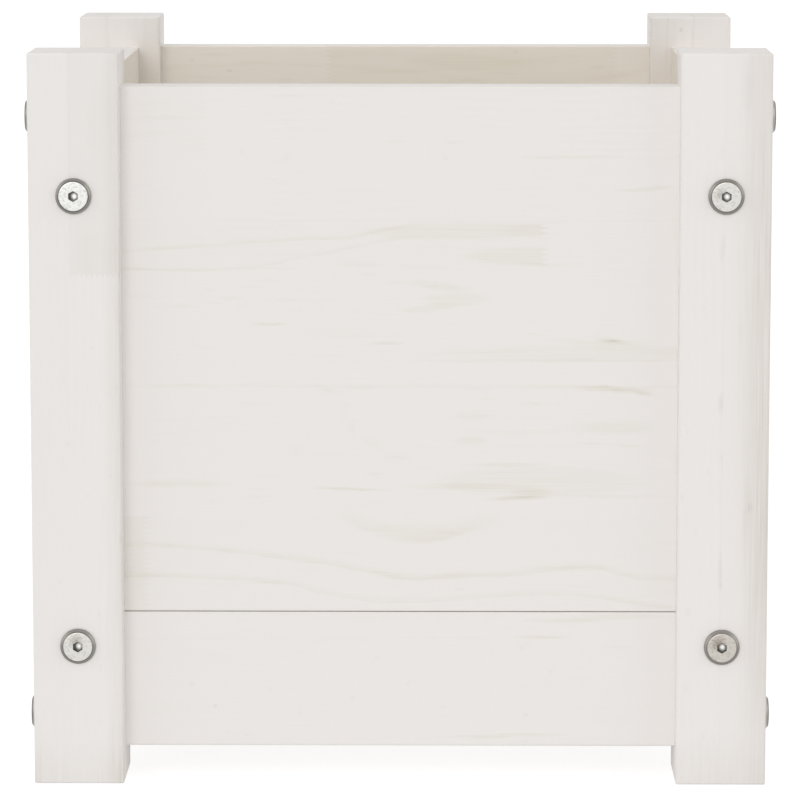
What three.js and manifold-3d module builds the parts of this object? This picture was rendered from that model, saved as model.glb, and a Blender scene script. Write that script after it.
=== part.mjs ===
// A small square planter in white-painted pine: four square posts stand at the corners, and between
// each two of them hangs a panel of a wide board over a narrow one. Connector bolts run through the
// posts into threaded inserts in the ends of the boards. A slatted floor lies on two cleats inside.
//
// Millimetres, +Z up, +Y to the rear. The origin is on the ground, in the middle of the footprint.

import * as THREE from "three";
import { mergeVertices } from "three/addons/utils/BufferGeometryUtils.js";
import Module from "manifold-3d";

// ---------------------------------------------------------------------------------------------
// Sizes
// ---------------------------------------------------------------------------------------------

// Overall, over the outer faces of the posts
const planterWidth = 310;
const planterDepth = 310;

// Posts
const postHeight = 310;
const postSide = 38;
const postEdgeRadius = 1.2; // on the long edges
const postEndRadius = 1; // on the edges of the top and of the foot

// Panels: a wide upper board and a narrow lower one, joined by a tongue and groove
const boardThickness = 18;
const boardEdgeRadius = 0.5;
const panelLift = 14.5; // from the ground up to the panels
const panelDrop = 14.5; // from the tops of the posts down to the panels
const lowerBoardHeight = 58;
const boardSeam = 0.3;
const tongueThickness = 6;
const tongueHeight = 6;

// Connector bolts: a low disc head with a bevelled rim, and a hexagon socket
const boltHeadRadius = 7.5;
const boltHeadHeight = 2.3;
const boltRimBevel = 1.4;
const boltShankRadius = 3;
const boltTipChamfer = 1;
const boltTipSetback = 3; // the bolt ends this far short of its insert's inner end
const hexSocketAcrossFlats = 4;
const hexSocketDepth = 2.6;

// Threaded inserts, let into the end grain of the boards
const insertRadius = 5;
const insertLength = 14;
const insertRecess = 0.5; // the insert sits this far below the end of the board
const insertChamfer = 0.8;

// Bolt places. The lower bolts of the front and rear panels lie near the lower edge of the lower
// board, and those of the side panels near its upper edge, so that they pass each other in the post.
const boltEdgeDistance = 13; // from that edge of the board

// Floor: slats laid from side to side on two cleats
const cleatWidth = 18;
const cleatHeight = 20;
const slatThickness = 12;
const slatCount = 3;
const slatGap = 8;
const slatEdgeRadius = 1;

// Countersunk wood screws
const screwHeadRadius = 3.5;
const screwShankRadius = 1.75;
const screwConeHeight = 2;
const screwTipLength = 4;
const screwTipCover = 6; // wood left between a screw's tip and the face behind it
const crossRecessWidth = 1;
const crossRecessSpan = 4.2;
const crossRecessDepth = 1.2;

// Clearances
const woodGap = 0.3; // between two wooden faces that meet
const boltClearance = 0.5; // round a bolt in its post
const insertClearance = 0.3; // round an insert, and between its thread and the bolt
const screwClearance = 0.3; // round a screw and its head
const slatEndGap = 0.5; // between the floor and the panels or posts round it

// Facets
const boltSegments = 24;
const shankSegments = 12;
const edgeSegments = 2; // in each rounded edge
const cutOverrun = 1; // how far a cutting tool runs past the face that it leaves

// ---------------------------------------------------------------------------------------------
// Places worked out from the sizes
// ---------------------------------------------------------------------------------------------

const postX = (planterWidth - postSide) / 2;
const postY = (planterDepth - postSide) / 2;
const panelHeight = postHeight - panelLift - panelDrop;
const upperBoardHeight = panelHeight - lowerBoardHeight - boardSeam;
const frontPanelBoltInset = boltEdgeDistance; // from the top and the bottom of the panel
const sidePanelBoltInset = lowerBoardHeight - boltEdgeDistance;

const insideHalfWidth = postX - boardThickness / 2; // to the inner faces of the side panels
const insideHalfDepth = postY - boardThickness / 2;
const postInnerX = postX - postSide / 2;
const postInnerY = postY - postSide / 2;

const frontBoardLength = 2 * (postInnerX - woodGap);
const sideBoardLength = 2 * (postInnerY - woodGap);

const boltLength = postSide + woodGap + insertRecess + insertLength - boltTipSetback;
const insertBoreRadius = insertRadius + insertClearance;
const insertBoreDepth = insertRecess + insertLength + insertClearance;

const cleatX = insideHalfWidth - woodGap - cleatWidth / 2;
const cleatLength = 2 * (postInnerY - slatEndGap);
const floorLevel = panelLift + cleatHeight + woodGap; // underside of the slats

const slatLength = 2 * (insideHalfWidth - slatEndGap);
const slatRun = 2 * (insideHalfDepth - slatEndGap);
const slatWidth = (slatRun - (slatCount - 1) * slatGap) / slatCount;
const slatPitch = slatWidth + slatGap;

const slatScrewLength = slatThickness + woodGap + cleatHeight - screwTipCover;
const cleatScrewLength = cleatWidth + woodGap + boardThickness - screwTipCover;

// ---------------------------------------------------------------------------------------------
// Materials
// ---------------------------------------------------------------------------------------------

const paintedPine = new THREE.MeshStandardMaterial({ color: 0xe9e6e2, roughness: 0.6, metalness: 0 });
const zincPlatedSteel = new THREE.MeshStandardMaterial({ color: 0xb8b5ae, roughness: 0.35, metalness: 1 });
const yellowZincSteel = new THREE.MeshStandardMaterial({ color: 0xc2a65c, roughness: 0.4, metalness: 1 });

// ---------------------------------------------------------------------------------------------
// Solids
// ---------------------------------------------------------------------------------------------

const wasm = await Module();
wasm.setup();

/** A closed three.js geometry as a solid that can be joined and cut. */
function solidOf(geometry) {
  const bare = geometry.clone().deleteAttribute("normal").deleteAttribute("uv");
  const merged = mergeVertices(bare, 1e-4);
  return new wasm.Manifold(
    new wasm.Mesh({
      numProp: 3,
      vertProperties: merged.attributes.position.array,
      triVerts: new Uint32Array(merged.index.array),
    }),
  );
}

/** A solid as a three.js geometry with flat-shaded faces. */
function geometryOf(solid) {
  const mesh = solid.getMesh();
  const geometry = new THREE.BufferGeometry();
  geometry.setAttribute("position", new THREE.BufferAttribute(mesh.vertProperties, mesh.numProp));
  geometry.setIndex(new THREE.BufferAttribute(mesh.triVerts, 1));
  const flat = geometry.toNonIndexed();
  flat.computeVertexNormals();
  return flat;
}

/** Cuts each of the tools, which are geometries, out of a solid. */
function cut(solid, tools) {
  return geometryOf(tools.reduce((rest, tool) => rest.subtract(solidOf(tool)), solid));
}

/** A rectangle centred on the origin, with rounded corners. */
function roundedRectangle(width, height, radius) {
  const x = width / 2;
  const y = height / 2;
  const shape = new THREE.Shape();
  shape.moveTo(-x + radius, -y);
  shape.absarc(x - radius, -y + radius, radius, -Math.PI / 2, 0);
  shape.absarc(x - radius, y - radius, radius, 0, Math.PI / 2);
  shape.absarc(-x + radius, y - radius, radius, Math.PI / 2, Math.PI);
  shape.absarc(-x + radius, -y + radius, radius, Math.PI, 1.5 * Math.PI);
  return shape;
}

/** A closed profile of [radius, height] points turned about the Z axis. */
function turned(profile, segments) {
  const points = profile.map(([radius, height]) => new THREE.Vector2(radius, height));
  return new THREE.LatheGeometry(points, segments).rotateX(Math.PI / 2);
}

/** A straight drill along +Z, from one level to another. */
function drill(radius, from, to) {
  const length = to - from;
  return new THREE.CylinderGeometry(radius, radius, length, shankSegments)
    .rotateX(Math.PI / 2)
    .translate(0, 0, from + length / 2);
}

/** A bar centred on the origin that runs along Z, with rounded edges along it. */
function roundedBar(width, depth, length, radius) {
  return new THREE.ExtrudeGeometry(roundedRectangle(width, depth, radius), {
    depth: length,
    curveSegments: edgeSegments,
    bevelEnabled: false,
  }).translate(0, 0, -length / 2);
}

/** A post, standing on the ground, with its bolt holes through both ways. */
function postGeometry() {
  const longEdges = roundedBar(postSide, postSide, postHeight, postEdgeRadius);
  const endEdges = () => roundedBar(postSide, postHeight, postSide, postEndRadius).rotateX(Math.PI / 2);
  const body = solidOf(longEdges)
    .intersect(solidOf(endEdges()))
    .intersect(solidOf(endEdges().rotateZ(Math.PI / 2)));
  const reach = postSide / 2 + cutOverrun;
  const hole = () => drill(boltShankRadius + boltClearance, -reach, reach);
  const middle = postHeight / 2;
  return cut(body, [
    ...boltLevels(frontPanelBoltInset).map((z) => hole().rotateY(Math.PI / 2).translate(0, 0, z - middle)),
    ...boltLevels(sidePanelBoltInset).map((z) => hole().rotateX(Math.PI / 2).translate(0, 0, z - middle)),
  ]).translate(0, 0, middle);
}

/** The heights of the lower and the upper bolt of a panel, above the ground. */
function boltLevels(inset) {
  return [panelLift + inset, panelLift + panelHeight - inset];
}

/**
 * A board lying along X with its thickness along Y, its lower edge at Z = 0 and its middle at X = 0.
 * Its profile runs along its whole length, and its ends are sawn square and bored for the inserts.
 */
function boardGeometry(profile, length, insertLevel, screwHoles) {
  const body = new THREE.ExtrudeGeometry(profile, {
    depth: length,
    curveSegments: edgeSegments,
    bevelEnabled: false,
  });
  body.translate(0, 0, -length / 2).rotateX(Math.PI / 2).rotateZ(Math.PI / 2);
  const bore = () => drill(insertBoreRadius, length / 2 - insertBoreDepth, length / 2 + cutOverrun);
  return cut(solidOf(body), [
    bore().rotateY(Math.PI / 2).translate(0, 0, insertLevel),
    bore().rotateY(-Math.PI / 2).translate(0, 0, insertLevel),
    ...screwHoles,
  ]);
}

/** The holes of a cleat's screws, in the inner face of the board that carries the cleat. */
function cleatScrewHolesInBoard() {
  const headY = boardThickness / 2 + woodGap + cleatWidth;
  return cleatScrewPlaces().map((x) =>
    screwHole(cleatScrewLength)
      .rotateX(-Math.PI / 2)
      .translate(x, headY, cleatHeight / 2),
  );
}

/** The profile of the upper board: eased long edges and a groove in the lower one. */
function upperBoardProfile() {
  const grooveHalf = tongueThickness / 2 + woodGap;
  const grooveTop = tongueHeight - boardSeam + woodGap;
  const half = boardThickness / 2;
  const ease = boardEdgeRadius;
  const shape = new THREE.Shape();
  shape.moveTo(-grooveHalf, 0);
  shape.lineTo(-grooveHalf, grooveTop);
  shape.lineTo(grooveHalf, grooveTop);
  shape.lineTo(grooveHalf, 0);
  shape.absarc(half - ease, ease, ease, -Math.PI / 2, 0);
  shape.absarc(half - ease, upperBoardHeight - ease, ease, 0, Math.PI / 2);
  shape.absarc(-half + ease, upperBoardHeight - ease, ease, Math.PI / 2, Math.PI);
  shape.absarc(-half + ease, ease, ease, Math.PI, 1.5 * Math.PI);
  return shape;
}

/** The profile of the lower board: eased long edges and a tongue on the upper one. */
function lowerBoardProfile() {
  const tongueHalf = tongueThickness / 2;
  const half = boardThickness / 2;
  const ease = boardEdgeRadius;
  const shape = new THREE.Shape();
  shape.moveTo(-half + ease, 0);
  shape.absarc(half - ease, ease, ease, -Math.PI / 2, 0);
  shape.absarc(half - ease, lowerBoardHeight - ease, ease, 0, Math.PI / 2);
  shape.lineTo(tongueHalf, lowerBoardHeight);
  shape.lineTo(tongueHalf, lowerBoardHeight + tongueHeight);
  shape.lineTo(-tongueHalf, lowerBoardHeight + tongueHeight);
  shape.lineTo(-tongueHalf, lowerBoardHeight);
  shape.absarc(-half + ease, lowerBoardHeight - ease, ease, Math.PI / 2, Math.PI);
  shape.absarc(-half + ease, ease, ease, Math.PI, 1.5 * Math.PI);
  return shape;
}

/** A connector bolt: its head rises from Z = 0, and its shank hangs below. */
function boltGeometry() {
  const head = turned(
    [
      [0, 0],
      [boltHeadRadius, 0],
      [boltHeadRadius, boltHeadHeight - boltRimBevel],
      [boltHeadRadius - boltRimBevel, boltHeadHeight],
      [0, boltHeadHeight],
    ],
    boltSegments,
  );
  const shank = turned(
    [
      [0, -boltLength],
      [boltShankRadius - boltTipChamfer, -boltLength],
      [boltShankRadius, -boltLength + boltTipChamfer],
      [boltShankRadius, boltHeadHeight / 2],
      [0, boltHeadHeight / 2],
    ],
    shankSegments,
  );
  const cornerRadius = hexSocketAcrossFlats / Math.sqrt(3);
  const socketLength = hexSocketDepth + cutOverrun;
  const socket = new THREE.CylinderGeometry(cornerRadius, cornerRadius, socketLength, 6)
    .rotateX(Math.PI / 2)
    .translate(0, 0, boltHeadHeight - hexSocketDepth + socketLength / 2);
  return cut(solidOf(head).add(solidOf(shank)), [socket]);
}

/** A threaded insert: its mouth is at Z = 0, and its body hangs below. */
function insertGeometry() {
  const bore = boltShankRadius + insertClearance;
  return turned(
    [
      [bore, 0],
      [bore, -insertLength],
      [insertRadius - insertChamfer, -insertLength],
      [insertRadius, -insertLength + insertChamfer],
      [insertRadius, 0],
      [bore, 0],
    ],
    shankSegments,
  );
}

/** A countersunk wood screw with a cross recess: its head is flush with Z = 0. */
function screwGeometry(length) {
  const body = turned(
    [
      [0, -length],
      [screwShankRadius, -length + screwTipLength],
      [screwShankRadius, -screwConeHeight],
      [screwHeadRadius, 0],
      [0, 0],
    ],
    shankSegments,
  );
  const recess = (angle) =>
    new THREE.BoxGeometry(crossRecessSpan, crossRecessWidth, 2 * crossRecessDepth).rotateZ(angle);
  return cut(solidOf(body), [recess(0), recess(Math.PI / 2)]);
}

/** The hole for a countersunk screw whose head is sunk by one clearance below Z = 0. */
function screwHole(length) {
  const bottom = -length - 2 * screwClearance;
  const mouthRadius = screwHeadRadius + screwClearance;
  const pilotRadius = screwShankRadius + screwClearance;
  return turned(
    [
      [0, bottom],
      [pilotRadius, bottom + screwTipLength],
      [pilotRadius, -screwClearance - screwConeHeight],
      [mouthRadius, -screwClearance],
      [mouthRadius, cutOverrun],
      [0, cutOverrun],
    ],
    shankSegments,
  );
}

/** A cleat lying along Y, with the holes of its own screws and of the slats' screws. */
function cleatGeometry(side) {
  const body = roundedBar(cleatWidth, cleatHeight, cleatLength, slatEdgeRadius)
    .rotateX(Math.PI / 2)
    .translate(0, 0, cleatHeight / 2);
  const slatTop = cleatHeight + woodGap + slatThickness;
  const inwards = -side * (Math.PI / 2);
  return cut(solidOf(body), [
    ...slatPlaces().map((y) => screwHole(slatScrewLength).translate(0, y, slatTop)),
    ...cleatScrewPlaces().map((y) =>
      screwHole(cleatScrewLength)
        .rotateY(inwards)
        .translate(-side * (cleatWidth / 2), y, cleatHeight / 2),
    ),
  ]);
}

/** Where the slats lie along Y, from the front to the rear. */
function slatPlaces() {
  return Array.from({ length: slatCount }, (_, i) => (i - (slatCount - 1) / 2) * slatPitch);
}

/** Where the cleats' screws go along Y: midway between the slats' screws. */
function cleatScrewPlaces() {
  const places = slatPlaces();
  return [places[0] + slatPitch / 2, places[places.length - 1] - slatPitch / 2];
}

/** A slat lying along X, notched where it meets the posts, with a screw hole at each end. */
function slatGeometry(y) {
  const body = roundedBar(slatThickness, slatWidth, slatLength, slatEdgeRadius)
    .rotateY(Math.PI / 2)
    .translate(0, 0, slatThickness / 2);
  const notchSide = postSide + 2 * slatEndGap;
  const notchHeight = slatThickness + 2 * cutOverrun;
  const notch = (x, postPlace) =>
    new THREE.BoxGeometry(notchSide, notchSide, notchHeight).translate(x, postPlace - y, slatThickness / 2);
  return cut(solidOf(body), [
    ...[-cleatX, cleatX].map((x) => screwHole(slatScrewLength).translate(x, 0, slatThickness)),
    ...[-postX, postX].flatMap((x) => [notch(x, -postY), notch(x, postY)]),
  ]);
}

// ---------------------------------------------------------------------------------------------
// Assembly
// ---------------------------------------------------------------------------------------------

const planter = new THREE.Group();

/** Adds a named piece to a group and returns it, so that it can be placed. */
function add(group, name, geometry, material) {
  const mesh = new THREE.Mesh(geometry, material);
  mesh.name = name;
  group.add(mesh);
  return mesh;
}

const levels = ["lower", "upper"];
const boltShape = boltGeometry();
const insertShape = insertGeometry();
const postShape = postGeometry();

/** Posts, each with two bolts through its front or rear face and two through its outer side. */
function addPosts() {
  for (const [yName, ySign] of [["front", -1], ["rear", 1]]) {
    for (const [xName, xSign] of [["left", -1], ["right", 1]]) {
      const corner = new THREE.Group();
      corner.position.set(xSign * postX, ySign * postY, 0);
      planter.add(corner);
      add(corner, `post_${yName}_${xName}`, postShape, paintedPine);
      boltLevels(sidePanelBoltInset).forEach((z, i) => {
        const bolt = add(corner, `bolt_${yName}_${xName}_${yName}_${levels[i]}`, boltShape, zincPlatedSteel);
        bolt.position.set(0, (ySign * postSide) / 2, z);
        bolt.rotation.x = -ySign * (Math.PI / 2);
      });
      boltLevels(frontPanelBoltInset).forEach((z, i) => {
        const bolt = add(corner, `bolt_${yName}_${xName}_side_${levels[i]}`, boltShape, zincPlatedSteel);
        bolt.position.set((xSign * postSide) / 2, 0, z);
        bolt.rotation.y = xSign * (Math.PI / 2);
      });
    }
  }
}

/**
 * A panel and its inserts. Seen from outside it runs along X, and turning it by its angle about Z
 * brings it to its side of the planter.
 */
function addPanel({ side, angle, distance, length, boltInset, endNames, screwHoles = [] }) {
  const panel = new THREE.Group();
  panel.rotation.z = angle;
  planter.add(panel);

  const boltZ = boltLevels(boltInset);
  const upperZ = panelLift + lowerBoardHeight + boardSeam;
  const boards = [
    ["lower", lowerBoardProfile(), panelLift, screwHoles],
    ["upper", upperBoardProfile(), upperZ, []],
  ];
  boards.forEach(([level, profile, z, holes], i) => {
    const shape = boardGeometry(profile, length, boltZ[i] - z, holes);
    add(panel, `${level}_board_${side}`, shape, paintedPine).position.set(0, -distance, z);
    endNames.forEach((end, j) => {
      const direction = j === 0 ? -1 : 1;
      const insert = add(panel, `insert_${side}_${level}_${end}`, insertShape, yellowZincSteel);
      insert.position.set(direction * (length / 2 - insertRecess), -distance, boltZ[i]);
      insert.rotation.y = direction * (Math.PI / 2);
    });
  });
}

/** The floor: two cleats on the side panels, the slats on them, and their screws. */
function addFloor() {
  for (const [xName, xSign] of [["left", -1], ["right", 1]]) {
    const cleat = add(planter, `cleat_${xName}`, cleatGeometry(xSign), paintedPine);
    cleat.position.set(xSign * cleatX, 0, panelLift);
    cleatScrewPlaces().forEach((y, i) => {
      const name = `cleat_screw_${xName}_${["front", "rear"][i]}`;
      const screw = add(planter, name, screwGeometry(cleatScrewLength), zincPlatedSteel);
      const headX = cleatX - cleatWidth / 2 + screwClearance;
      screw.position.set(xSign * headX, y, panelLift + cleatHeight / 2);
      screw.rotation.y = -xSign * (Math.PI / 2);
    });
  }
  const names = slatCount === 3 ? ["front", "middle", "rear"] : slatPlaces().map((_, i) => `${i + 1}`);
  slatPlaces().forEach((y, i) => {
    const slat = add(planter, `floor_slat_${names[i]}`, slatGeometry(y), paintedPine);
    slat.position.set(0, y, floorLevel);
    for (const [xName, xSign] of [["left", -1], ["right", 1]]) {
      const name = `slat_screw_${names[i]}_${xName}`;
      const screw = add(planter, name, screwGeometry(slatScrewLength), zincPlatedSteel);
      screw.position.set(xSign * cleatX, y, floorLevel + slatThickness - screwClearance);
    }
  });
}

addPosts();
addPanel({
  side: "front",
  angle: 0,
  distance: postY,
  length: frontBoardLength,
  boltInset: frontPanelBoltInset,
  endNames: ["left", "right"],
});
addPanel({
  side: "right",
  angle: Math.PI / 2,
  distance: postX,
  length: sideBoardLength,
  boltInset: sidePanelBoltInset,
  endNames: ["front", "rear"],
  screwHoles: cleatScrewHolesInBoard(),
});
addPanel({
  side: "rear",
  angle: Math.PI,
  distance: postY,
  length: frontBoardLength,
  boltInset: frontPanelBoltInset,
  endNames: ["right", "left"],
});
addPanel({
  side: "left",
  angle: -Math.PI / 2,
  distance: postX,
  length: sideBoardLength,
  boltInset: sidePanelBoltInset,
  endNames: ["rear", "front"],
  screwHoles: cleatScrewHolesInBoard(),
});
addFloor();

export default planter;
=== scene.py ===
"""Dresses a small square planter in white-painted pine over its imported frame, in a plain studio.

The frame gives each piece its place and size in metres. What only the eye needs, such as the figure of
the wood or the rounding of a fastener, is written here in millimetres.
"""

import logging
import math
import random
from collections.abc import Iterable, Sequence
from dataclasses import dataclass, field, replace
from enum import Enum
from functools import partial

import bmesh
import bpy
from mathutils import Matrix, Vector


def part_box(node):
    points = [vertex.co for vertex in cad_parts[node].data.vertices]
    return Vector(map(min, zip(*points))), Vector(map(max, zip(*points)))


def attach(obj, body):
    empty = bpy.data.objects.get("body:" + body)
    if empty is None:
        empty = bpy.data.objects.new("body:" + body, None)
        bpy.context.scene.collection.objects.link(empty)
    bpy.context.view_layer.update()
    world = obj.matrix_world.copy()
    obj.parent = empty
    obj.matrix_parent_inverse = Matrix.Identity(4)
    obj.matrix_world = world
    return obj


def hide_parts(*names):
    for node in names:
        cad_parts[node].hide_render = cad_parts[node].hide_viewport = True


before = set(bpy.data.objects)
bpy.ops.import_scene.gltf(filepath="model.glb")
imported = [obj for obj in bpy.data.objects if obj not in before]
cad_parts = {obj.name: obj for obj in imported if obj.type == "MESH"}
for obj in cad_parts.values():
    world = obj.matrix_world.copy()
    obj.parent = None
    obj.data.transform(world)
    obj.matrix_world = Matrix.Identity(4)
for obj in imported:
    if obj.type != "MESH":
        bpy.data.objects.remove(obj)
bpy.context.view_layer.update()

MM = 0.001
ROOT = "root"
MOST_STRIPS = 16
BLOCKS_PER_STRIP = 4
BEYOND = 900.0  # past the end of any piece, for a joint that a strip doesn't have

log = logging.getLogger("planter")

Colour = tuple[float, float, float, float]
Point = tuple[float, float]
Triple = tuple[float, float, float]


# -------------------------------------------------------------------------------------------------
# Shader nodes
# -------------------------------------------------------------------------------------------------


def linear(hex_colour: str) -> Colour:
    """Turns an sRGB hex colour into the linear colour that a shader takes.

    Args:
        hex_colour: Six hex digits, such as "e9e6e2".

    Returns:
        Red, green and blue, and an alpha of 1.
    """
    channels = [int(hex_colour[i : i + 2], 16) / 255 for i in (0, 2, 4)]
    red, green, blue = (c / 12.92 if c <= 0.04045 else ((c + 0.055) / 1.055) ** 2.4 for c in channels)
    return red, green, blue, 1.0


def add_node(
    tree: bpy.types.NodeTree, kind: str, inputs: dict | None = None, **settings: object
) -> bpy.types.Node:
    """Adds a node with its settings and links.

    Args:
        tree: The tree that the node goes into.
        kind: The node's type, without the ShaderNode in front.
        inputs: A value, a socket or a node for each input, by its name or number. A node gives its
            first output that is in use.
        settings: The node's own properties, set before its inputs.

    Returns:
        The new node.
    """
    node = tree.nodes.new(f"ShaderNode{kind}")
    for name, value in settings.items():
        setattr(node, name, value)
    for key, value in (inputs or {}).items():
        by_name = (s for s in node.inputs if s.name == key and s.enabled)
        socket = node.inputs[key] if isinstance(key, int) else next(by_name)
        if isinstance(value, bpy.types.Node):
            value = next(s for s in value.outputs if s.enabled)
        if isinstance(value, bpy.types.NodeSocket):
            tree.links.new(value, socket)
        else:
            socket.default_value = value
    return node


def set_stops(
    node: bpy.types.Node, stops: Sequence[tuple[float, Colour]], interpolation: str = "LINEAR"
) -> None:
    """Gives a colour ramp its stops.

    Args:
        node: The colour ramp node.
        stops: Position from 0 to 1 and colour of each stop, in order; the first lies at 0.
        interpolation: How the ramp goes from stop to stop.
    """
    ramp = node.color_ramp
    ramp.interpolation = interpolation
    ramp.elements.remove(ramp.elements[1])
    ramp.elements[0].position, ramp.elements[0].color = stops[0]
    for position, colour in stops[1:]:
        ramp.elements.new(position).color = colour


def new_material(name: str) -> bpy.types.Material:
    """Makes a material without nodes.

    Args:
        name: The material's name.

    Returns:
        The material.
    """
    material = bpy.data.materials.new(name)
    material.use_nodes = True
    material.node_tree.nodes.clear()
    return material


def surface(material: bpy.types.Material, inputs: dict) -> None:
    """Gives a material its Principled shader.

    Args:
        material: The material.
        inputs: What goes into the shader.
    """
    shader = add_node(material.node_tree, "BsdfPrincipled", inputs)
    add_node(material.node_tree, "OutputMaterial", {"Surface": shader})


# -------------------------------------------------------------------------------------------------
# Figure of the wood
# -------------------------------------------------------------------------------------------------


@dataclass(frozen=True)
class Strip:
    """One strip of a glued face, finger-jointed from up to three blocks end to end."""

    top: float
    joints: tuple[float, float] = (BEYOND, BEYOND)
    tones: Triple = (0.0, 0.0, 0.0)


class Part(Enum):
    """Which side of its strip's first finger joint a mark stays on."""

    WHOLE = 0
    BEFORE = 1
    AFTER = 2


@dataclass(frozen=True)
class Mark:
    """A mark along the grain, such as a resin streak, a darker lens or a pin knot.

    Its edge fades over the share `soft` of its half size, and it reaches `deep` into the wood.
    """

    along: float
    down: float
    length: float
    width: float
    dark: float
    slope: float = 0.0
    inward: float = 0.0
    soft: float = 1.0
    deep: float = 8.0
    part: Part = Part.WHOLE


@dataclass(frozen=True)
class GrainLine:
    """A growth line that wanders along a face, through points of (along, down).

    It darkens slowly from above and ends sharply below, as late wood does.
    """

    points: tuple[Point, ...]
    width: float
    dark: float
    since: float = -100.0
    until: float = 300.0


@dataclass(frozen=True)
class Figure:
    """All that is drawn on one piece of wood; down is measured from the top of its strips."""

    seed: int
    strips: tuple[Strip, ...] = (Strip(0.0),)
    marks: tuple[Mark, ...] = ()
    lines: tuple[GrainLine, ...] = ()

    def within(self, first: float, last: float) -> "Figure":
        """Keeps what shows between two levels.

        Args:
            first: The upper level, measured down.
            last: The lower level.

        Returns:
            The same figure with only the marks and lines between them.
        """
        marks = tuple(m for m in self.marks if first - m.width < m.down < last + m.width)
        lines = tuple(n for n in self.lines if first < n.points[0][1] < last)
        return Figure(self.seed, self.strips, marks, lines)


@dataclass(frozen=True)
class Stock:
    """The size of a piece of wood along, across and into its grain."""

    length: float
    height: float
    depth: float


POST = Stock(310, 38, 38)
PANEL = Stock(234, 281, 18)
SLAT = Stock(253, 79, 16)
CLEAT = Stock(233, 20, 20)


@dataclass(frozen=True)
class Chance:
    """Makes up the figure of wood that follows no particular one, from seeded draws in these ranges."""

    first_joint: Point = (-0.3, 0.8)  # share of the piece's length
    block: Point = (0.4, 0.9)  # length of a block, as a share of the piece's
    tones: tuple[float, ...] = (0.0, 0.0, 0.015, 0.04)
    strip: Point = (0.6, 1.4)  # height of a strip, as a share of the mean
    slope: Point = (-0.06, 0.06)
    size: Point = (8, 60)
    knot_length: float = 3.0
    knot_width: float = 2.6
    knot_dark: Point = (0.15, 0.4)
    lens_growth: Point = (24, 1)  # length of the smallest lens, and what the size adds to it
    lens_spread: Point = (2, 0.16)  # the same for its width
    lens_dark: Point = (0.06, 0.13)
    lens_soft: float = 0.5
    streak_width: Point = (1.4, 3.0)
    streak_dark: Point = (0.08, 0.2)
    marks_per_line: int = 6
    line_level: Point = (0.04, 0.96)  # share of the piece's height
    line_stray: float = 0.03
    line_bends: tuple[float, ...] = (0, 0.25, 0.5, 0.75, 1)  # shares of the piece's length
    line_width: Point = (1.4, 3.0)
    line_dark: Point = (0.05, 0.13)
    side_length: Point = (6, 70)
    side_width: float = 8.0
    side_dark: Point = (0.06, 0.16)
    side_margin: float = 2.0
    side_deep: Point = (0.7, 2.2)

    def figure(self, seed: int, stock: Stock, strip: float, marks: int, tone: float = 0.0) -> Figure:
        """Makes up the figure of a piece.

        Args:
            seed: Seed of the draws.
            stock: The size of the piece.
            strip: Mean height of its strips.
            marks: How many streaks, lenses and pin knots it has.
            tone: How much darker all of it is.

        Returns:
            The figure.
        """
        draw = random.Random(seed)
        length, height = stock.length, stock.height
        strips, top = [], 0.0
        while top < height:
            first = draw.uniform(*self.first_joint) * length
            tones = tuple(tone + draw.choice(self.tones) for _ in range(3))
            strips.append(Strip(top, (first, first + draw.uniform(*self.block) * length), tones))
            top += strip * draw.uniform(*self.strip)
        drawn = tuple(self._mark(draw, stock, n) for n in range(marks))
        lines = tuple(self._line(draw, stock) for _ in range(marks // self.marks_per_line))
        return Figure(seed, tuple(strips), drawn, lines)

    def _mark(self, draw: random.Random, stock: Stock, number: int) -> Mark:
        """Makes up one mark: of four, one is a pin knot, one a broad, pale lens and two are streaks.

        Args:
            draw: What the draws come from.
            stock: The size of the piece.
            number: The mark's number.

        Returns:
            The mark.
        """
        along, down = draw.uniform(0, stock.length), draw.uniform(0, stock.height)
        inward = draw.choice((0.0, stock.depth))
        slope, size = draw.uniform(*self.slope), draw.uniform(*self.size)
        if number % 4 == 0:
            form = (self.knot_length, self.knot_width, draw.uniform(*self.knot_dark), 0.0, inward)
        elif number % 4 == 1:
            (long, longer), (wide, wider) = self.lens_growth, self.lens_spread
            dark = draw.uniform(*self.lens_dark)
            form = (long + longer * size, wide + wider * size, dark, slope, inward, self.lens_soft)
        else:
            form = (size, draw.uniform(*self.streak_width), draw.uniform(*self.streak_dark), slope, inward)
        return Mark(along, down, *form)

    def _line(self, draw: random.Random, stock: Stock) -> GrainLine:
        """Makes up one growth line.

        Args:
            draw: What the draws come from.
            stock: The size of the piece.

        Returns:
            The line.
        """
        level = draw.uniform(*self.line_level) * stock.height
        stray = self.line_stray * stock.height
        bends = tuple((at * stock.length, level + draw.uniform(-stray, stray)) for at in self.line_bends)
        return GrainLine(bends, draw.uniform(*self.line_width), draw.uniform(*self.line_dark))

    def side_marks(self, seed: int, stock: Stock, count: int) -> tuple[Mark, ...]:
        """Makes up streaks on the two faces that lie across a piece's figure.

        Args:
            seed: Seed of the draws.
            stock: The size of the piece.
            count: How many streaks there are.

        Returns:
            The streaks.
        """
        draw = random.Random(seed)
        return tuple(
            Mark(
                along=draw.uniform(0, stock.length),
                down=draw.choice((0.0, stock.height)),
                length=draw.uniform(*self.side_length),
                width=self.side_width,
                dark=draw.uniform(*self.side_dark),
                inward=draw.uniform(self.side_margin, stock.depth - self.side_margin),
                deep=draw.uniform(*self.side_deep),
            )
            for _ in range(count)
        )


CHANCE = Chance()


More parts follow.
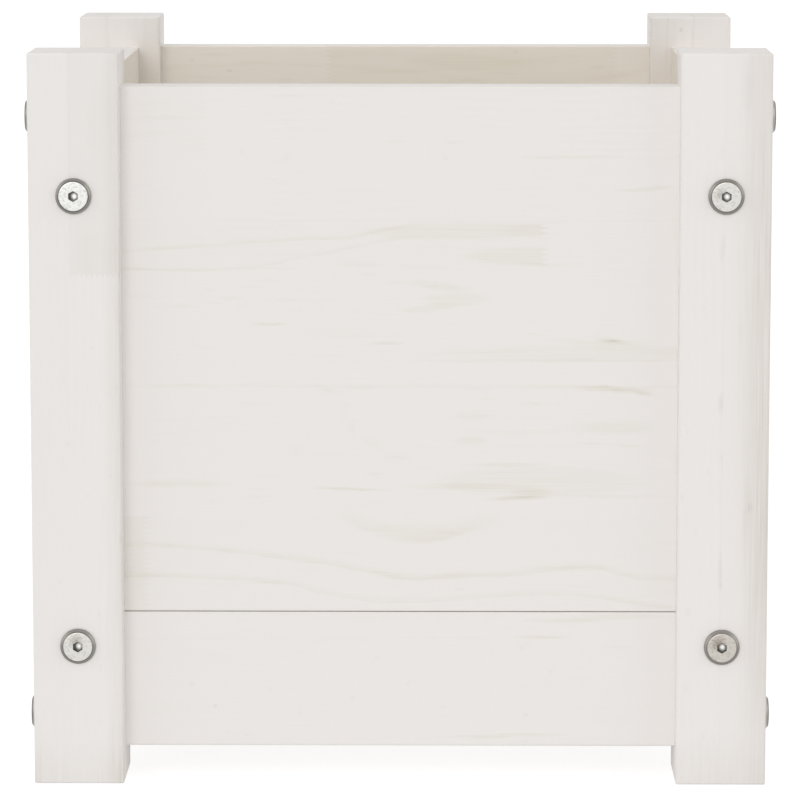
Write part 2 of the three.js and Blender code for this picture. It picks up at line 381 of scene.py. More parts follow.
@dataclass(frozen=True)
class Box:
    """The room that a CAD node takes, in metres."""

    low: Vector
    high: Vector

    @classmethod
    def of(cls, node: str) -> "Box":
        """Measures a CAD node.

        Args:
            node: The node.

        Returns:
            Its box.
        """
        return cls(*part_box(node))

    @property
    def middle(self) -> Vector:
        """Returns the middle of the box."""
        return (self.low + self.high) / 2

    @property
    def size(self) -> Vector:
        """Returns the size of the box."""
        return self.high - self.low


@dataclass(frozen=True)
class GrainFrame:
    """Where a piece of wood lies: the corner and the directions that its figure is measured from."""

    corner: Vector
    along: Vector
    inward: Vector
    across: Vector
    depth: tuple[float, float]
    height: tuple[float, float]

    @classmethod
    def of(cls, box: Box, along: Vector, inward: Vector, across: Vector) -> "GrainFrame":
        """Lays the frame into a piece's room.

        Args:
            box: The room.
            along: The direction of the grain.
            inward: The direction away from the face that the figure is seen on.
            across: The direction in which the strips follow each other.

        Returns:
            The frame.
        """
        length, depth, height = (abs(box.size.dot(axis)) for axis in (along, inward, across))
        corner = box.middle - (along * length + inward * depth + across * height) / 2
        return cls(corner, along, inward, across, (0.0, depth / MM), (0.0, height / MM))

    def place(self) -> Matrix:
        """Returns the matrix from millimetres in this frame to metres in the row frame."""
        axes = Matrix((self.along, self.inward, self.across)).transposed() * MM
        return Matrix.Translation(self.corner) @ axes.to_4x4()


# -------------------------------------------------------------------------------------------------
# Finishes
# -------------------------------------------------------------------------------------------------


@dataclass(frozen=True)
class PaintedPine:
    """Finger-jointed pine under one thin sprayed coat of off-white paint.

    The coat gives the eye an even, slightly chalky white. The wood shows through it as faint warm
    rings, fibres and streaks, a little more on the arrises. The inner face is painted warmer and
    darker, as painted shade and painted warm bounce light inside the box. The size of a pattern
    is given along, into and across the grain.
    """

    coat: str = "ebe7e4"
    veiled: str = "e0dcd2"
    veiled_share: float = 0.25  # how much of the wood shows through there
    bare: str = "88817a"
    roughness: tuple[float, float] = (0.5, 0.66)
    seed_step: Triple = (317.0, 73.0, 131.0)  # how far apart two pieces lie in the patterns
    ring_spacing: float = 3.4
    late_wood: tuple[Point, ...] = ((0.0, 0.0), (0.3, 0.05), (0.88, 1.0), (1.0, 0.0))
    ring_wander: float = 9.0
    ring_wander_size: Triple = (90.0, 35.0, 35.0)
    ring_patch_size: Triple = (60.0, 30.0, 16.0)
    ring_patch_levels: tuple[float, float] = (0.4, 0.68)  # of the noise that lets the rings show
    ring_least: float = 0.12
    pith_start: Triple = (0.0, -90.0, -40.0)
    pith_spread: Triple = (0.0, 50.0, 300.0)
    ring_share: float = 0.015
    fibre_size: Triple = (40.0, 0.9, 0.9)  # real fibres are finer than a pixel, so these are bundles
    fibre_share: float = 0.015
    waver: float = 1.8  # how far the drawn marks and lines stray
    waver_size: Triple = (14.0, 6.0, 5.0)
    line_patch_size: Triple = (24.0, 24.0, 24.0)
    line_patch_levels: tuple[float, float] = (0.35, 0.65)
    line_least: float = 0.4
    line_fade: float = 14.0  # how far a line takes to end
    line_steepness: float = 3.0  # how many times as fast it fades below as above
    finger_pitch: float = 2.2
    finger_length: float = 4.0
    glue_line: float = 0.35
    glue_share: float = 0.03
    arris: float = 1.3
    arris_share: float = 0.06
    wear_size: Triple = (12.5, 12.5, 12.5)
    # Painted shade: the inner face is painted darker and warmer, for the shade and warm bounce light inside
    # the box.
    inner_share: float = 0.02
    inner_tint: str = "fffcf5"
    inner_skin: tuple[float, float] = (1.0, 0.2)  # how deep the inner painted shade starts and is full
    inner_start: tuple[float, float] | None = None  # where along the piece the inner painted shade starts and is full
    relief: float = 0.05  # height of the raised fibres
    ring_relief: float = 0.5  # height of the rings, as a share of the fibres'
    mark_strength: float = 0.85
    mark_least: float = 0.4  # share of it that is left where the fibres break a mark up
    mark_fibre_levels: tuple[float, float] = (0.3, 0.7)
    joint_reach: float = 1000.0  # longer than any piece

    def material(self, name: str, grain: GrainFrame, figure: Figure) -> bpy.types.Material:
        """Makes the finish of one piece.

        Args:
            name: The material's name.
            grain: Where the piece lies.
            figure: What is drawn on it.

        Returns:
            The material.
        """
        return PineDrawing(self, name, grain, figure).paint()


class PineDrawing:
    """The nodes of one piece of painted pine, in millimetres along, into and across its grain."""

    def __init__(self, finish: PaintedPine, name: str, grain: GrainFrame, figure: Figure) -> None:
        """Starts the material and measures the places on the piece.

        Args:
            finish: The finish that it wears.
            name: The material's name.
            grain: Where the piece lies.
            figure: What is drawn on it.
        """
        self.finish = finish
        self.grain = grain
        self.figure = figure
        self.material = new_material(name)
        self.add = partial(add_node, self.material.node_tree)
        place = self.add("TexCoord").outputs["Object"]
        offset = self.add("VectorMath", {0: place, 1: grain.corner}, operation="SUBTRACT")
        self.along, self.inward, self.down = (
            self.add("VectorMath", {0: offset, 1: axis / MM}, operation="DOT_PRODUCT")
            for axis in (grain.along, grain.inward, grain.across)
        )
        self.local = self.add("CombineXYZ", {"X": self.along, "Y": self.inward, "Z": self.down})
        shift = Vector(finish.seed_step) * figure.seed
        self.strayed = self.add("VectorMath", {0: self.local, 1: shift}, operation="ADD")
        self.fibre = self._blotches(self.strayed, finish.fibre_size, detail=3.0, roughness=0.6)

    def paint(self) -> bpy.types.Material:
        """Draws the whole finish.

        Returns:
            The material.
        """
        finish = self.finish
        tone, number, sides = self._blocks()
        rings = self._rings(number)
        inner = self._inner()
        share = self.add("Math", {0: rings, 1: finish.ring_share, 2: tone}, operation="MULTIPLY_ADD")
        share = self.add("Math", {0: self.fibre, 1: finish.fibre_share, 2: share}, operation="MULTIPLY_ADD")
        share = self.add("Math", {0: share, 1: self._drawn(sides)}, operation="ADD")
        share = self.add("Math", {0: share, 1: self._rub(inner)}, operation="ADD", use_clamp=True)
        colour = self.add("ValToRGB", {"Fac": share})
        stops = ((0.0, finish.coat), (finish.veiled_share, finish.veiled), (1.0, finish.bare))
        set_stops(colour, [(at, linear(shade)) for at, shade in stops])
        # Painted shade: the inner face is multiplied by a warm tint, for the warm light bounced inside the
        # box.
        inner_shaded = self.add(
            "Mix",
            {"Factor": inner, "A": colour, "B": linear(finish.inner_tint)},
            data_type="RGBA",
            blend_type="MULTIPLY",
        )
        low, high = finish.roughness
        gloss = self.add("MapRange", {"Value": self.fibre, "To Min": low, "To Max": high})
        height = {0: rings, 1: finish.ring_relief, 2: self.fibre}
        height = self.add("Math", height, operation="MULTIPLY_ADD")
        bump = self.add("Bump", {"Height": height, "Strength": 1.0, "Distance": finish.relief * MM})
        surface(self.material, {"Base Color": inner_shaded, "Roughness": gloss, "Normal": bump})
        return self.material

    def _blotches(
        self, place: bpy.types.Node, size: Triple, detail: float, roughness: float = 0.5
    ) -> bpy.types.Node:
        """Draws a noise whose blotches have a real size.

        Args:
            place: The place on the piece.
            size: Size of a blotch along, into and across the grain.
            detail: How many finer noises lie on it.
            roughness: How strong these are.

        Returns:
            The node that gives the noise, from 0 to 1.
        """
        shrunk = self.add("VectorMath", {0: place, 1: [1 / span for span in size]}, operation="MULTIPLY")
        look = {"Scale": 1.0, "Detail": detail, "Roughness": roughness}
        return self.add("TexNoise", {"Vector": shrunk, **look})

    def _blocks(self) -> tuple[bpy.types.Node, bpy.types.Node, dict[Part, bpy.types.Node]]:
        """Parts the face into its glued blocks, with finger joints between those of a strip.

        Returns:
            The node that gives each block's tone, the one that gives its number, and those that give 1
            before and after the strip's first joint.
        """
        finish = self.finish
        height = self.grain.height[1]
        reach = finish.joint_reach
        shown = [strip for strip in self.figure.strips if strip.top < height]
        edges = [(*(joint / reach for joint in s.joints), n / MOST_STRIPS, 1) for n, s in enumerate(shown)]
        level = self.add("Math", {0: self.down, 1: height}, operation="DIVIDE")
        joints = self.add("ValToRGB", {"Fac": level})
        tones = self.add("ValToRGB", {"Fac": level})
        set_stops(joints, [(s.top / height, edge) for s, edge in zip(shown, edges)], "CONSTANT")
        set_stops(tones, [(s.top / height, (*s.tones, 1)) for s in shown], "CONSTANT")
        joint = self.add("SeparateColor", {"Color": joints}).outputs
        tone = self.add("SeparateColor", {"Color": tones}).outputs
        half_pitch = finish.finger_pitch / 2
        zigzag = self.add("Math", {0: self.down, 1: half_pitch}, operation="PINGPONG")
        along = self.add("Math", {0: self.along, 1: reach}, operation="DIVIDE")
        finger = finish.finger_length / half_pitch / reach
        along = self.add("Math", {0: zigzag, 1: finger, 2: along}, operation="MULTIPLY_ADD")
        numbered = {0: joint["Blue"], 1: BLOCKS_PER_STRIP * MOST_STRIPS, 2: self.figure.seed}
        number = self.add("Math", numbered, operation="MULTIPLY_ADD")
        told = tone["Red"]
        passed, lines = [], []
        for channel, following in (("Red", "Green"), ("Green", "Blue")):
            past = self.add("Math", {0: along, 1: joint[channel]}, operation="GREATER_THAN")
            passed.append(past)
            number = self.add("Math", {0: number, 1: past}, operation="ADD")
            told = self.add("Mix", {"Factor": past, "A": told, "B": tone[following]}, data_type="FLOAT")
            off = self.add("Math", {0: along, 1: joint[channel]}, operation="SUBTRACT")
            off = self.add("Math", {0: off}, operation="ABSOLUTE")
            glue = {"From Max": finish.glue_line / reach, "To Min": finish.glue_share, "To Max": 0.0}
            lines.append(self.add("MapRange", {"Value": off, **glue}))
        line = self.add("Math", {0: lines[0], 1: lines[1]}, operation="ADD")
        told = self.add("Math", {0: told, 1: line}, operation="ADD")
        before = self.add("Math", {0: 1.0, 1: passed[0]}, operation="SUBTRACT")
        return told, number, {Part.BEFORE: before, Part.AFTER: passed[0]}

    def _rings(self, number: bpy.types.Node) -> bpy.types.Node:
        """Draws the growth rings round each block's own pith.

        Args:
            number: The block's number, from which its pith is drawn.

        Returns:
            The node that gives the late wood, from 0 to 1, strong in some places and faint in others.
        """
        finish = self.finish
        chance = self.add("TexWhiteNoise", {"W": number}, noise_dimensions="1D").outputs["Color"]
        spread = self.add("VectorMath", {0: chance, 1: finish.pith_spread}, operation="MULTIPLY")
        pith = self.add("VectorMath", {0: spread, 1: finish.pith_start}, operation="ADD")
        radial = self.add("VectorMath", {0: self.local, 1: pith}, operation="SUBTRACT")
        radial = self.add("VectorMath", {0: radial, 1: (0, 1, 1)}, operation="MULTIPLY")
        radius = self.add("VectorMath", {0: radial}, operation="LENGTH")
        wander = self._blotches(self.strayed, finish.ring_wander_size, detail=2.0, roughness=0.45)
        turns = self.add("Math", {0: wander, 1: finish.ring_wander, 2: radius}, operation="MULTIPLY_ADD")
        turns = self.add("Math", {0: turns, 1: finish.ring_spacing}, operation="DIVIDE")
        turns = self.add("Math", {0: turns}, operation="FRACT")
        late = self.add("ValToRGB", {"Fac": turns})
        set_stops(late, [(at, (grey, grey, grey, 1.0)) for at, grey in finish.late_wood])
        patch = self._blotches(self.strayed, finish.ring_patch_size, detail=1.0)
        low, high = finish.ring_patch_levels
        levels = {"From Min": low, "From Max": high, "To Min": finish.ring_least, "To Max": 1.0}
        seen = self.add("MapRange", {"Value": patch, **levels}, interpolation_type="SMOOTHSTEP")
        return self.add("Math", {0: late, 1: seen}, operation="MULTIPLY")

    def _drawn(self, sides: dict[Part, bpy.types.Node]) -> bpy.types.Node:
        """Draws the marks and growth lines that the figure names, with no smooth outline.

        Args:
            sides: Tell which side of the strip's first joint a place lies on.

        Returns:
            The node that gives how much darker the drawn figure makes the wood.
        """
        finish = self.finish
        noise = self._blotches(self.strayed, finish.waver_size, detail=3.0, roughness=0.6)
        up = self.add("Math", {0: noise, 1: finish.waver, 2: -finish.waver / 2}, operation="MULTIPLY_ADD")
        stray = self.add("CombineXYZ", {"Z": up})
        place = self.add("VectorMath", {0: self.local, 1: stray}, operation="ADD")
        total = self.add("Math", {0: 0.0, 1: 0.0}, operation="ADD")  # nothing is drawn yet
        for mark in self.figure.marks:
            seen = self._mark(place, mark)
            if mark.part in sides:
                seen = self.add("Math", {0: seen, 1: sides[mark.part]}, operation="MULTIPLY")
            total = self.add("Math", {0: seen, 1: mark.dark, 2: total}, operation="MULTIPLY_ADD")
        if self.figure.lines:
            slow = self._blotches(place, finish.line_patch_size, detail=2.0, roughness=0.6)
            low, high = finish.line_patch_levels
            levels = {"From Min": low, "From Max": high, "To Min": finish.line_least}
            patchy = self.add("MapRange", {"Value": slow, **levels})
        for line in self.figure.lines:
            drawn = self._line(place, line)
            total = self.add("Math", {0: drawn, 1: patchy, 2: total}, operation="MULTIPLY_ADD")
        low, high = finish.mark_fibre_levels
        least, most = finish.mark_least * finish.mark_strength, finish.mark_strength
        levels = {"From Min": low, "From Max": high, "To Min": least, "To Max": most}
        broken = self.add("MapRange", {"Value": self.fibre, **levels})
        return self.add("Math", {0: total, 1: broken}, operation="MULTIPLY")

    def _mark(self, place: bpy.types.Node, mark: Mark) -> bpy.types.NodeSocket | bpy.types.Node:
        """Draws one mark as a soft ellipsoid.

        Args:
            place: The place on the piece.
            mark: The mark.

        Returns:
            What gives the mark, from 0 to 1.
        """
        laid = {
            "Location": (mark.along, mark.inward, mark.down),
            "Rotation": (0, -math.atan(mark.slope), 0),
            "Scale": (mark.length / 2, mark.deep, mark.width / 2),
        }
        inside = self.add("Mapping", {"Vector": place, **laid}, vector_type="TEXTURE")
        seen = self.add("TexGradient", {"Vector": inside}, gradient_type="SPHERICAL").outputs["Fac"]
        if mark.soft == 1:
            return seen
        edge = {"Value": seen, "From Max": mark.soft}
        return self.add("MapRange", edge, interpolation_type="SMOOTHSTEP")

    def _line(self, place: bpy.types.Node, line: GrainLine) -> bpy.types.Node:
        """Draws one growth line.

        Args:
            place: The place on the piece.
            line: The line.

        Returns:
            The node that gives how much darker the line makes the wood.
        """
        height = self.grain.height[1]
        length = line.points[-1][0]
        parts = self.add("SeparateXYZ", {"Vector": place}).outputs
        share = self.add("Math", {0: parts["X"], 1: length}, operation="DIVIDE")
        curve = self.add("FloatCurve", {"Value": share})
        bends = curve.mapping.curves[0].points
        for at, down in line.points[1:-1]:
            bends.new(at / length, down / height)
        bends[0].location = (0.0, line.points[0][1] / height)
        bends[len(bends) - 1].location = (1.0, line.points[-1][1] / height)
        curve.mapping.extend = "HORIZONTAL"
        curve.mapping.update()
        below = self.add("Math", {0: curve, 1: -height, 2: parts["Z"]}, operation="MULTIPLY_ADD")
        rise = {"From Min": -line.width, "From Max": 0.0, "To Max": line.dark}
        upper = self.add("MapRange", {"Value": below, **rise}, interpolation_type="SMOOTHSTEP")
        fall = {"From Max": line.width / self.finish.line_steepness, "To Min": 1.0, "To Max": 0.0}
        lower = self.add("MapRange", {"Value": below, **fall}, interpolation_type="SMOOTHSTEP")
        middle, half = (line.since + line.until) / 2, (line.until - line.since) / 2
        off = self.add("Math", {0: parts["X"], 1: middle}, operation="SUBTRACT")
        off = self.add("Math", {0: off}, operation="ABSOLUTE")
        fade = {"From Min": half - self.finish.line_fade, "From Max": half, "To Min": 1.0, "To Max": 0.0}
        ends = self.add("MapRange", {"Value": off, **fade})
        both = self.add("Math", {0: upper, 1: lower}, operation="MULTIPLY")
        return self.add("Math", {0: both, 1: ends}, operation="MULTIPLY")

    def _inner(self) -> bpy.types.Node:
        """Finds the inner face, which is painted warmer and darker as painted shade inside the box.

        Returns:
            The node that gives 1 on the inner face and 0 elsewhere.
        """
        deep = self.grain.depth[1]
        start, full = (deep - skin for skin in self.finish.inner_skin)
        inner = self.add("MapRange", {"Value": self.inward, "From Min": start, "From Max": full})
        if self.finish.inner_start is None:
            return inner
        start, full = self.finish.inner_start
        below = self.add("MapRange", {"Value": self.along, "From Min": start, "From Max": full})
        return self.add("Math", {0: inner, 1: below}, operation="MULTIPLY")

    def _rub(self, inner: bpy.types.Node) -> bpy.types.Node:
        """Thins the coat on the long arrises, as wear, and adds the painted shade of the inner face.

        Args:
            inner: Tells the inner face, where the shade is painted.

        Returns:
            The node that gives the share of wood that shows: on worn arrises, and as painted shade inside.
        """
        finish = self.finish
        near = []
        for place, (low, high) in ((self.inward, self.grain.depth), (self.down, self.grain.height)):
            half = (high - low) / 2
            off = self.add("Math", {0: place, 1: (low + high) / 2}, operation="SUBTRACT")
            off = self.add("Math", {0: off}, operation="ABSOLUTE")
            close = {"From Min": half - finish.arris, "From Max": half}
            near.append(self.add("MapRange", {"Value": off, **close}))
        edge = self.add("Math", {0: near[0], 1: near[1]}, operation="MINIMUM")
        worn = self._blotches(self.strayed, finish.wear_size, detail=2.0)
        edge = self.add("Math", {0: edge, 1: worn}, operation="MULTIPLY")
        share = self.add("Math", {0: edge, 1: 2 * finish.arris_share}, operation="MULTIPLY")
        return self.add("Math", {0: inner, 1: finish.inner_share, 2: share}, operation="MULTIPLY_ADD")


@dataclass(frozen=True)
class PlatedSteel:
    """Cold-headed steel, tumbled and zinc-plated, with the dull skin that plating leaves.

    A flat head looks like a pale mottled disc. Its bevelled rim is painted darker grey and the groove at
    its inner edge darker still, as painted shade. Its socket is painted dark as painted shade, round a
    painted highlight on its floor.
    """

    plate: str = "c9c6c1"
    smudge: str = "8d857c"
    smudge_share: float = 0.35
    # Painted shade: the rim and the groove at its inner edge are set darker than the plate.
    rim: str = "a3a09b"
    groove: str = "5f5c58"
    # Painted shade in the socket, and a painted highlight (glint) on its floor.
    socket: str = "55524d"
    glint: str = "f4f4f1"
    roughness: tuple[float, float] = (0.3, 0.45)
    disc_radius: float = 6.1
    rim_radius: float = 7.5
    socket_radius: float = 2.45
    socket_level: float = 1e3  # no socket unless the piece gives its mouth's level
    glint_place: Point = (0.3, 0.0)
    glint_radius: float = 1.75
    glint_core: float = 0.1  # share of it that is full
    # A darker round patch on the plate, where a head is given one.
    stain_place: Point = (0.0, 0.0)
    stain_radius: float = 1.0
    stain_share: float = 0.0
    mottle: float = 0.9  # size of a blotch in the plating
    mottle_levels: tuple[float, float] = (0.48, 0.7)
    relief: float = 0.02
    groove_width: float = 0.03  # share of the rim's radius
    bevel: float = 0.09

    def material(self, name: str) -> bpy.types.Material:
        """Makes the finish, measured from the origin of the piece that wears it.

        Args:
            name: The material's name.

        Returns:
            The material.
        """
        material = new_material(name)
        add = partial(add_node, material.node_tree)
        place = add("TexCoord").outputs["Object"]
        local = add("VectorMath", {0: place, "Scale": 1 / MM}, operation="SCALE")
        mottled = {"Scale": 1 / self.mottle, "Detail": 4.0, "Roughness": 0.65}
        blotch = add("TexNoise", {"Vector": local, **mottled})
        low, high = self.mottle_levels
        smudged = {"From Min": low, "From Max": high, "To Max": self.smudge_share}
        smudge_and_patch = add("MapRange", {"Value": blotch, **smudged})
        off_patch = add("VectorMath", {0: local, 1: (*self.stain_place, 0)}, operation="SUBTRACT")
        shrink = (1 / self.stain_radius, 1 / self.stain_radius, 0)
        off_patch = add("VectorMath", {0: off_patch, 1: shrink}, operation="MULTIPLY")
        dark_patch = add("TexGradient", {"Vector": off_patch}, gradient_type="SPHERICAL").outputs["Fac"]
        smudge_and_patch = {0: dark_patch, 1: self.stain_share, 2: smudge_and_patch}
        smudge_and_patch = add("Math", smudge_and_patch, operation="MULTIPLY_ADD", use_clamp=True)
        plate = {"A": linear(self.plate), "B": linear(self.smudge)}
        plate = add("Mix", {"Factor": smudge_and_patch, **plate}, data_type="RGBA")
        flat = add("VectorMath", {0: local, 1: (1, 1, 0)}, operation="MULTIPLY")
        radius = add("VectorMath", {0: flat}, operation="LENGTH")
        # Painted shade: the rim is darkest in a groove at the flat's edge and fades to the rim colour
        # outward.
        far = add("Math", {0: radius, 1: self.rim_radius}, operation="DIVIDE")
        rim = add("ValToRGB", {"Fac": far})
        edge = self.disc_radius / self.rim_radius
        stops = ((0.0, self.groove), (edge + self.groove_width, self.groove), (edge + self.bevel, self.rim))
        set_stops(rim, [(at, linear(colour)) for at, colour in stops])
        on_rim = add("Math", {0: far, 1: edge}, operation="GREATER_THAN")
        shade = add("Mix", {"Factor": on_rim, "A": plate, "B": rim}, data_type="RGBA")
        # Painted highlight in the middle of the socket, fading into its painted shade towards the walls.
        off_glint = add("VectorMath", {0: flat, 1: (*self.glint_place, 0)}, operation="DISTANCE")
        faded = {"From Min": self.glint_core * self.glint_radius, "From Max": self.glint_radius}
        glint_fade = add("MapRange", {"Value": off_glint, **faded}, interpolation_type="SMOOTHSTEP")
        inside = {"A": linear(self.glint), "B": linear(self.socket)}
        inside = add("Mix", {"Factor": glint_fade, **inside}, data_type="RGBA")
        level = add("SeparateXYZ", {"Vector": local}).outputs["Z"]
        below = add("Math", {0: level, 1: self.socket_level}, operation="LESS_THAN")
        near = add("Math", {0: radius, 1: self.socket_radius}, operation="LESS_THAN")
        sunk = add("Math", {0: below, 1: near}, operation="MULTIPLY")
        colour = add("Mix", {"Factor": sunk, "A": shade, "B": inside}, data_type="RGBA")
        low, high = self.roughness
        gloss = add("MapRange", {"Value": blotch, "To Min": low, "To Max": high})
        bump = add("Bump", {"Height": blotch, "Strength": 0.5, "Distance": self.relief * MM})
        surface(material, {"Base Color": colour, "Roughness": gloss, "Normal": bump, "Metallic": 1.0})
        return material


# -------------------------------------------------------------------------------------------------
# Meshes
# -------------------------------------------------------------------------------------------------


def eased_outline(corners: Sequence[Triple], steps: int = 6) -> list[Point]:
    """Rounds the square corners of an outline.

    Args:
        corners: x, y and radius of each corner, in order; a radius of 0 leaves it sharp.
        steps: Steps in each rounded corner.

    Returns:
        The points of the outline.
    """
    outline = []
    for n, (x, y, radius) in enumerate(corners):
        here = Vector((x, y))
        if radius == 0:
            outline.append((x, y))
            continue
        back = (Vector(corners[n - 1][:2]) - here).normalized()
        on = (Vector(corners[(n + 1) % len(corners)][:2]) - here).normalized()
        centre = here + radius * (back + on)
        for k in range(steps + 1):
            turn = math.pi / 2 * k / steps
            point = centre - radius * (on * math.cos(turn) + back * math.sin(turn))
            outline.append((point.x, point.y))
    return outline


def prism(outline: Sequence[Point], length: float) -> bmesh.types.BMesh:
    """Draws an outline in y and z out along x.

    Args:
        outline: Points of the section.
        length: How long the prism is, from x = 0.

    Returns:
        The mesh.
    """
    mesh = bmesh.new()
    near = [mesh.verts.new((0, y, z)) for y, z in outline]
    far = [mesh.verts.new((length, y, z)) for y, z in outline]
    mesh.faces.new(near)
    mesh.faces.new(far[::-1])
    for n, corner in enumerate(near):
        mesh.faces.new((near[n - 1], far[n - 1], far[n], corner))
    bmesh.ops.recalc_face_normals(mesh, faces=mesh.faces)
    return mesh


def eased_block(low: Vector, high: Vector, radius: float, steps: int = 5) -> bmesh.types.BMesh:
    """Makes a block with all its edges rounded.

    Args:
        low: Its lowest corner.
        high: Its highest corner.
        radius: Radius of the edges.
        steps: Steps in each edge.

    Returns:
        The mesh.
    """
    mesh = bmesh.new()
    bmesh.ops.create_cube(mesh, size=1)
    stretch = Matrix.Translation((low + high) / 2) @ Matrix.Diagonal((*(high - low), 1))
    bmesh.ops.transform(mesh, matrix=stretch, verts=mesh.verts)
    bmesh.ops.bevel(
        mesh,
        geom=list(mesh.edges),
        offset=radius,
        segments=steps,
        profile=0.5,
        affect="EDGES",
        clamp_overlap=True,
    )
    return mesh


def turned(profile: Sequence[Point], segments: int) -> bmesh.types.BMesh:
    """Turns a profile about the z axis.

    Args:
        profile: Radius and height of each point, from one end on the axis to the other, or all the way
            round a ring.
        segments: Steps round the axis.

    Returns:
        The mesh.
    """
    mesh = bmesh.new()
    loops = []
    for radius, height in profile:
        if radius == 0:
            loops.append([mesh.verts.new((0, 0, height))] * segments)
            continue
        angles = (2 * math.pi * k / segments for k in range(segments))
        loops.append([mesh.verts.new((radius * math.cos(a), radius * math.sin(a), height)) for a in angles])
    for one, two in zip(loops, loops[1:]):
        for k in range(segments):
            ring = dict.fromkeys((one[k - 1], one[k], two[k], two[k - 1]))
            mesh.faces.new(list(ring))
    bmesh.ops.recalc_face_normals(mesh, faces=mesh.faces)
    return mesh


def threaded(crest: float, root: float, start: float, end: float, pitch: float) -> list[Point]:
    """Gives the profile of a thread, as rings, whose slant is too small to see.

    Args:
        crest: Radius over the thread.
        root: Radius at its root.
        start: Height where it starts.
        end: Height where it ends.
        pitch: Height of one turn, about.

    Returns:
        Radius and height of each point.
    """
    count = max(1, round(abs(end - start) / pitch))
    step = (end - start) / count
    points = []
    for n in range(count):
        points += [(root, start + n * step), (crest, start + (n + 0.5) * step)]
    return [*points, (root, end)]


def upright(place: Vector, up: Vector) -> Matrix:
    """Stands something at a place, with its z axis along a direction.

    Args:
        place: Where its origin goes.
        up: Where its z axis points.

    Returns:
        The matrix that does it.
    """
    return Matrix.Translation(place) @ up.to_track_quat("Z", "Y").to_matrix().to_4x4()


def drill(radius: float, start: Vector, end: Vector, segments: int = 48) -> bmesh.types.BMesh:
    """Makes the tool that bores a straight hole.

    Args:
        radius: Radius of the hole.
        start: Where it starts.
        end: Where it ends.
        segments: Steps round it.

    Returns:
        The mesh.
    """
    axis = end - start
    mesh = turned([(0, 0), (radius, 0), (radius, axis.length), (0, axis.length)], segments)
    bmesh.ops.transform(mesh, matrix=upright(start, axis), verts=mesh.verts)
    return mesh


def to_object(name: str, mesh: bmesh.types.BMesh, place: Matrix | None = None) -> bpy.types.Object:
    """Turns a mesh under construction into an object of the scene.

    Args:
        name: The object's name.
        mesh: The mesh, which is freed.
        place: Matrix that its points go through, if any.

    Returns:
        The object, at the origin.
    """
    if place is not None:
        bmesh.ops.transform(mesh, matrix=place, verts=mesh.verts)
        if place.determinant() < 0:
            bmesh.ops.reverse_faces(mesh, faces=mesh.faces)
    data = bpy.data.meshes.new(name)
    mesh.to_mesh(data)
    mesh.free()
    thing = bpy.data.objects.new(name, data)
    bpy.context.scene.collection.objects.link(thing)
    return thing


def carve(mesh: bmesh.types.BMesh, tools: Iterable[bmesh.types.BMesh]) -> bmesh.types.BMesh:
    """Cuts tools that don't meet each other out of a mesh.

    Args:
        mesh: The mesh to cut, which is freed.
        tools: The tools, which are freed.

    Returns:
        What is left.
    """
    body = to_object("body", mesh)
    together = bmesh.new()
    for tool in tools:
        data = bpy.data.meshes.new("tool")
        tool.to_mesh(data)
        tool.free()
        together.from_mesh(data)
        bpy.data.meshes.remove(data)
    cutter = to_object("cutter", together)
    boolean = body.modifiers.new("cut", "BOOLEAN")
    boolean.operation = "DIFFERENCE"
    boolean.solver = "EXACT"
    boolean.object = cutter
    evaluated = body.evaluated_get(bpy.context.evaluated_depsgraph_get())
    left = bmesh.new()
    left.from_mesh(evaluated.to_mesh())
    evaluated.to_mesh_clear()
    for used in (body, cutter):
        data = used.data
        bpy.data.objects.remove(used)
        bpy.data.meshes.remove(data)
    return left


def shade_smooth(thing: bpy.types.Object, crease: float = 35.0) -> None:
    """Smooths the rounded edges of an object and keeps its flats flat.

    Args:
        thing: The object.
        crease: Angle in degrees above which an edge stays sharp.
    """
    thing.data.polygons.foreach_set("use_smooth", [True] * len(thing.data.polygons))
    thing.data.set_sharp_from_angle(angle=math.radians(crease))
    weighted = thing.modifiers.new("even_shading", "WEIGHTED_NORMAL")
    weighted.keep_sharp = True


def show(thing: bpy.types.Object, node: str, material: bpy.types.Material) -> None:
    """Puts a finished piece in the place of its CAD node.

    Args:
        thing: The piece.
        node: The CAD node that it stands for.
        material: Its finish.
    """
    thing.data.materials.clear()
    thing.data.materials.append(material)
    shade_smooth(thing)
    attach(thing, ROOT)
    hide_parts(node)
    log.info("%s: %d faces, for %s", thing.name, len(thing.data.polygons), node)


# -------------------------------------------------------------------------------------------------
# Posts
# -------------------------------------------------------------------------------------------------

CORNERS = ("front_left", "front_right", "rear_left", "rear_right")

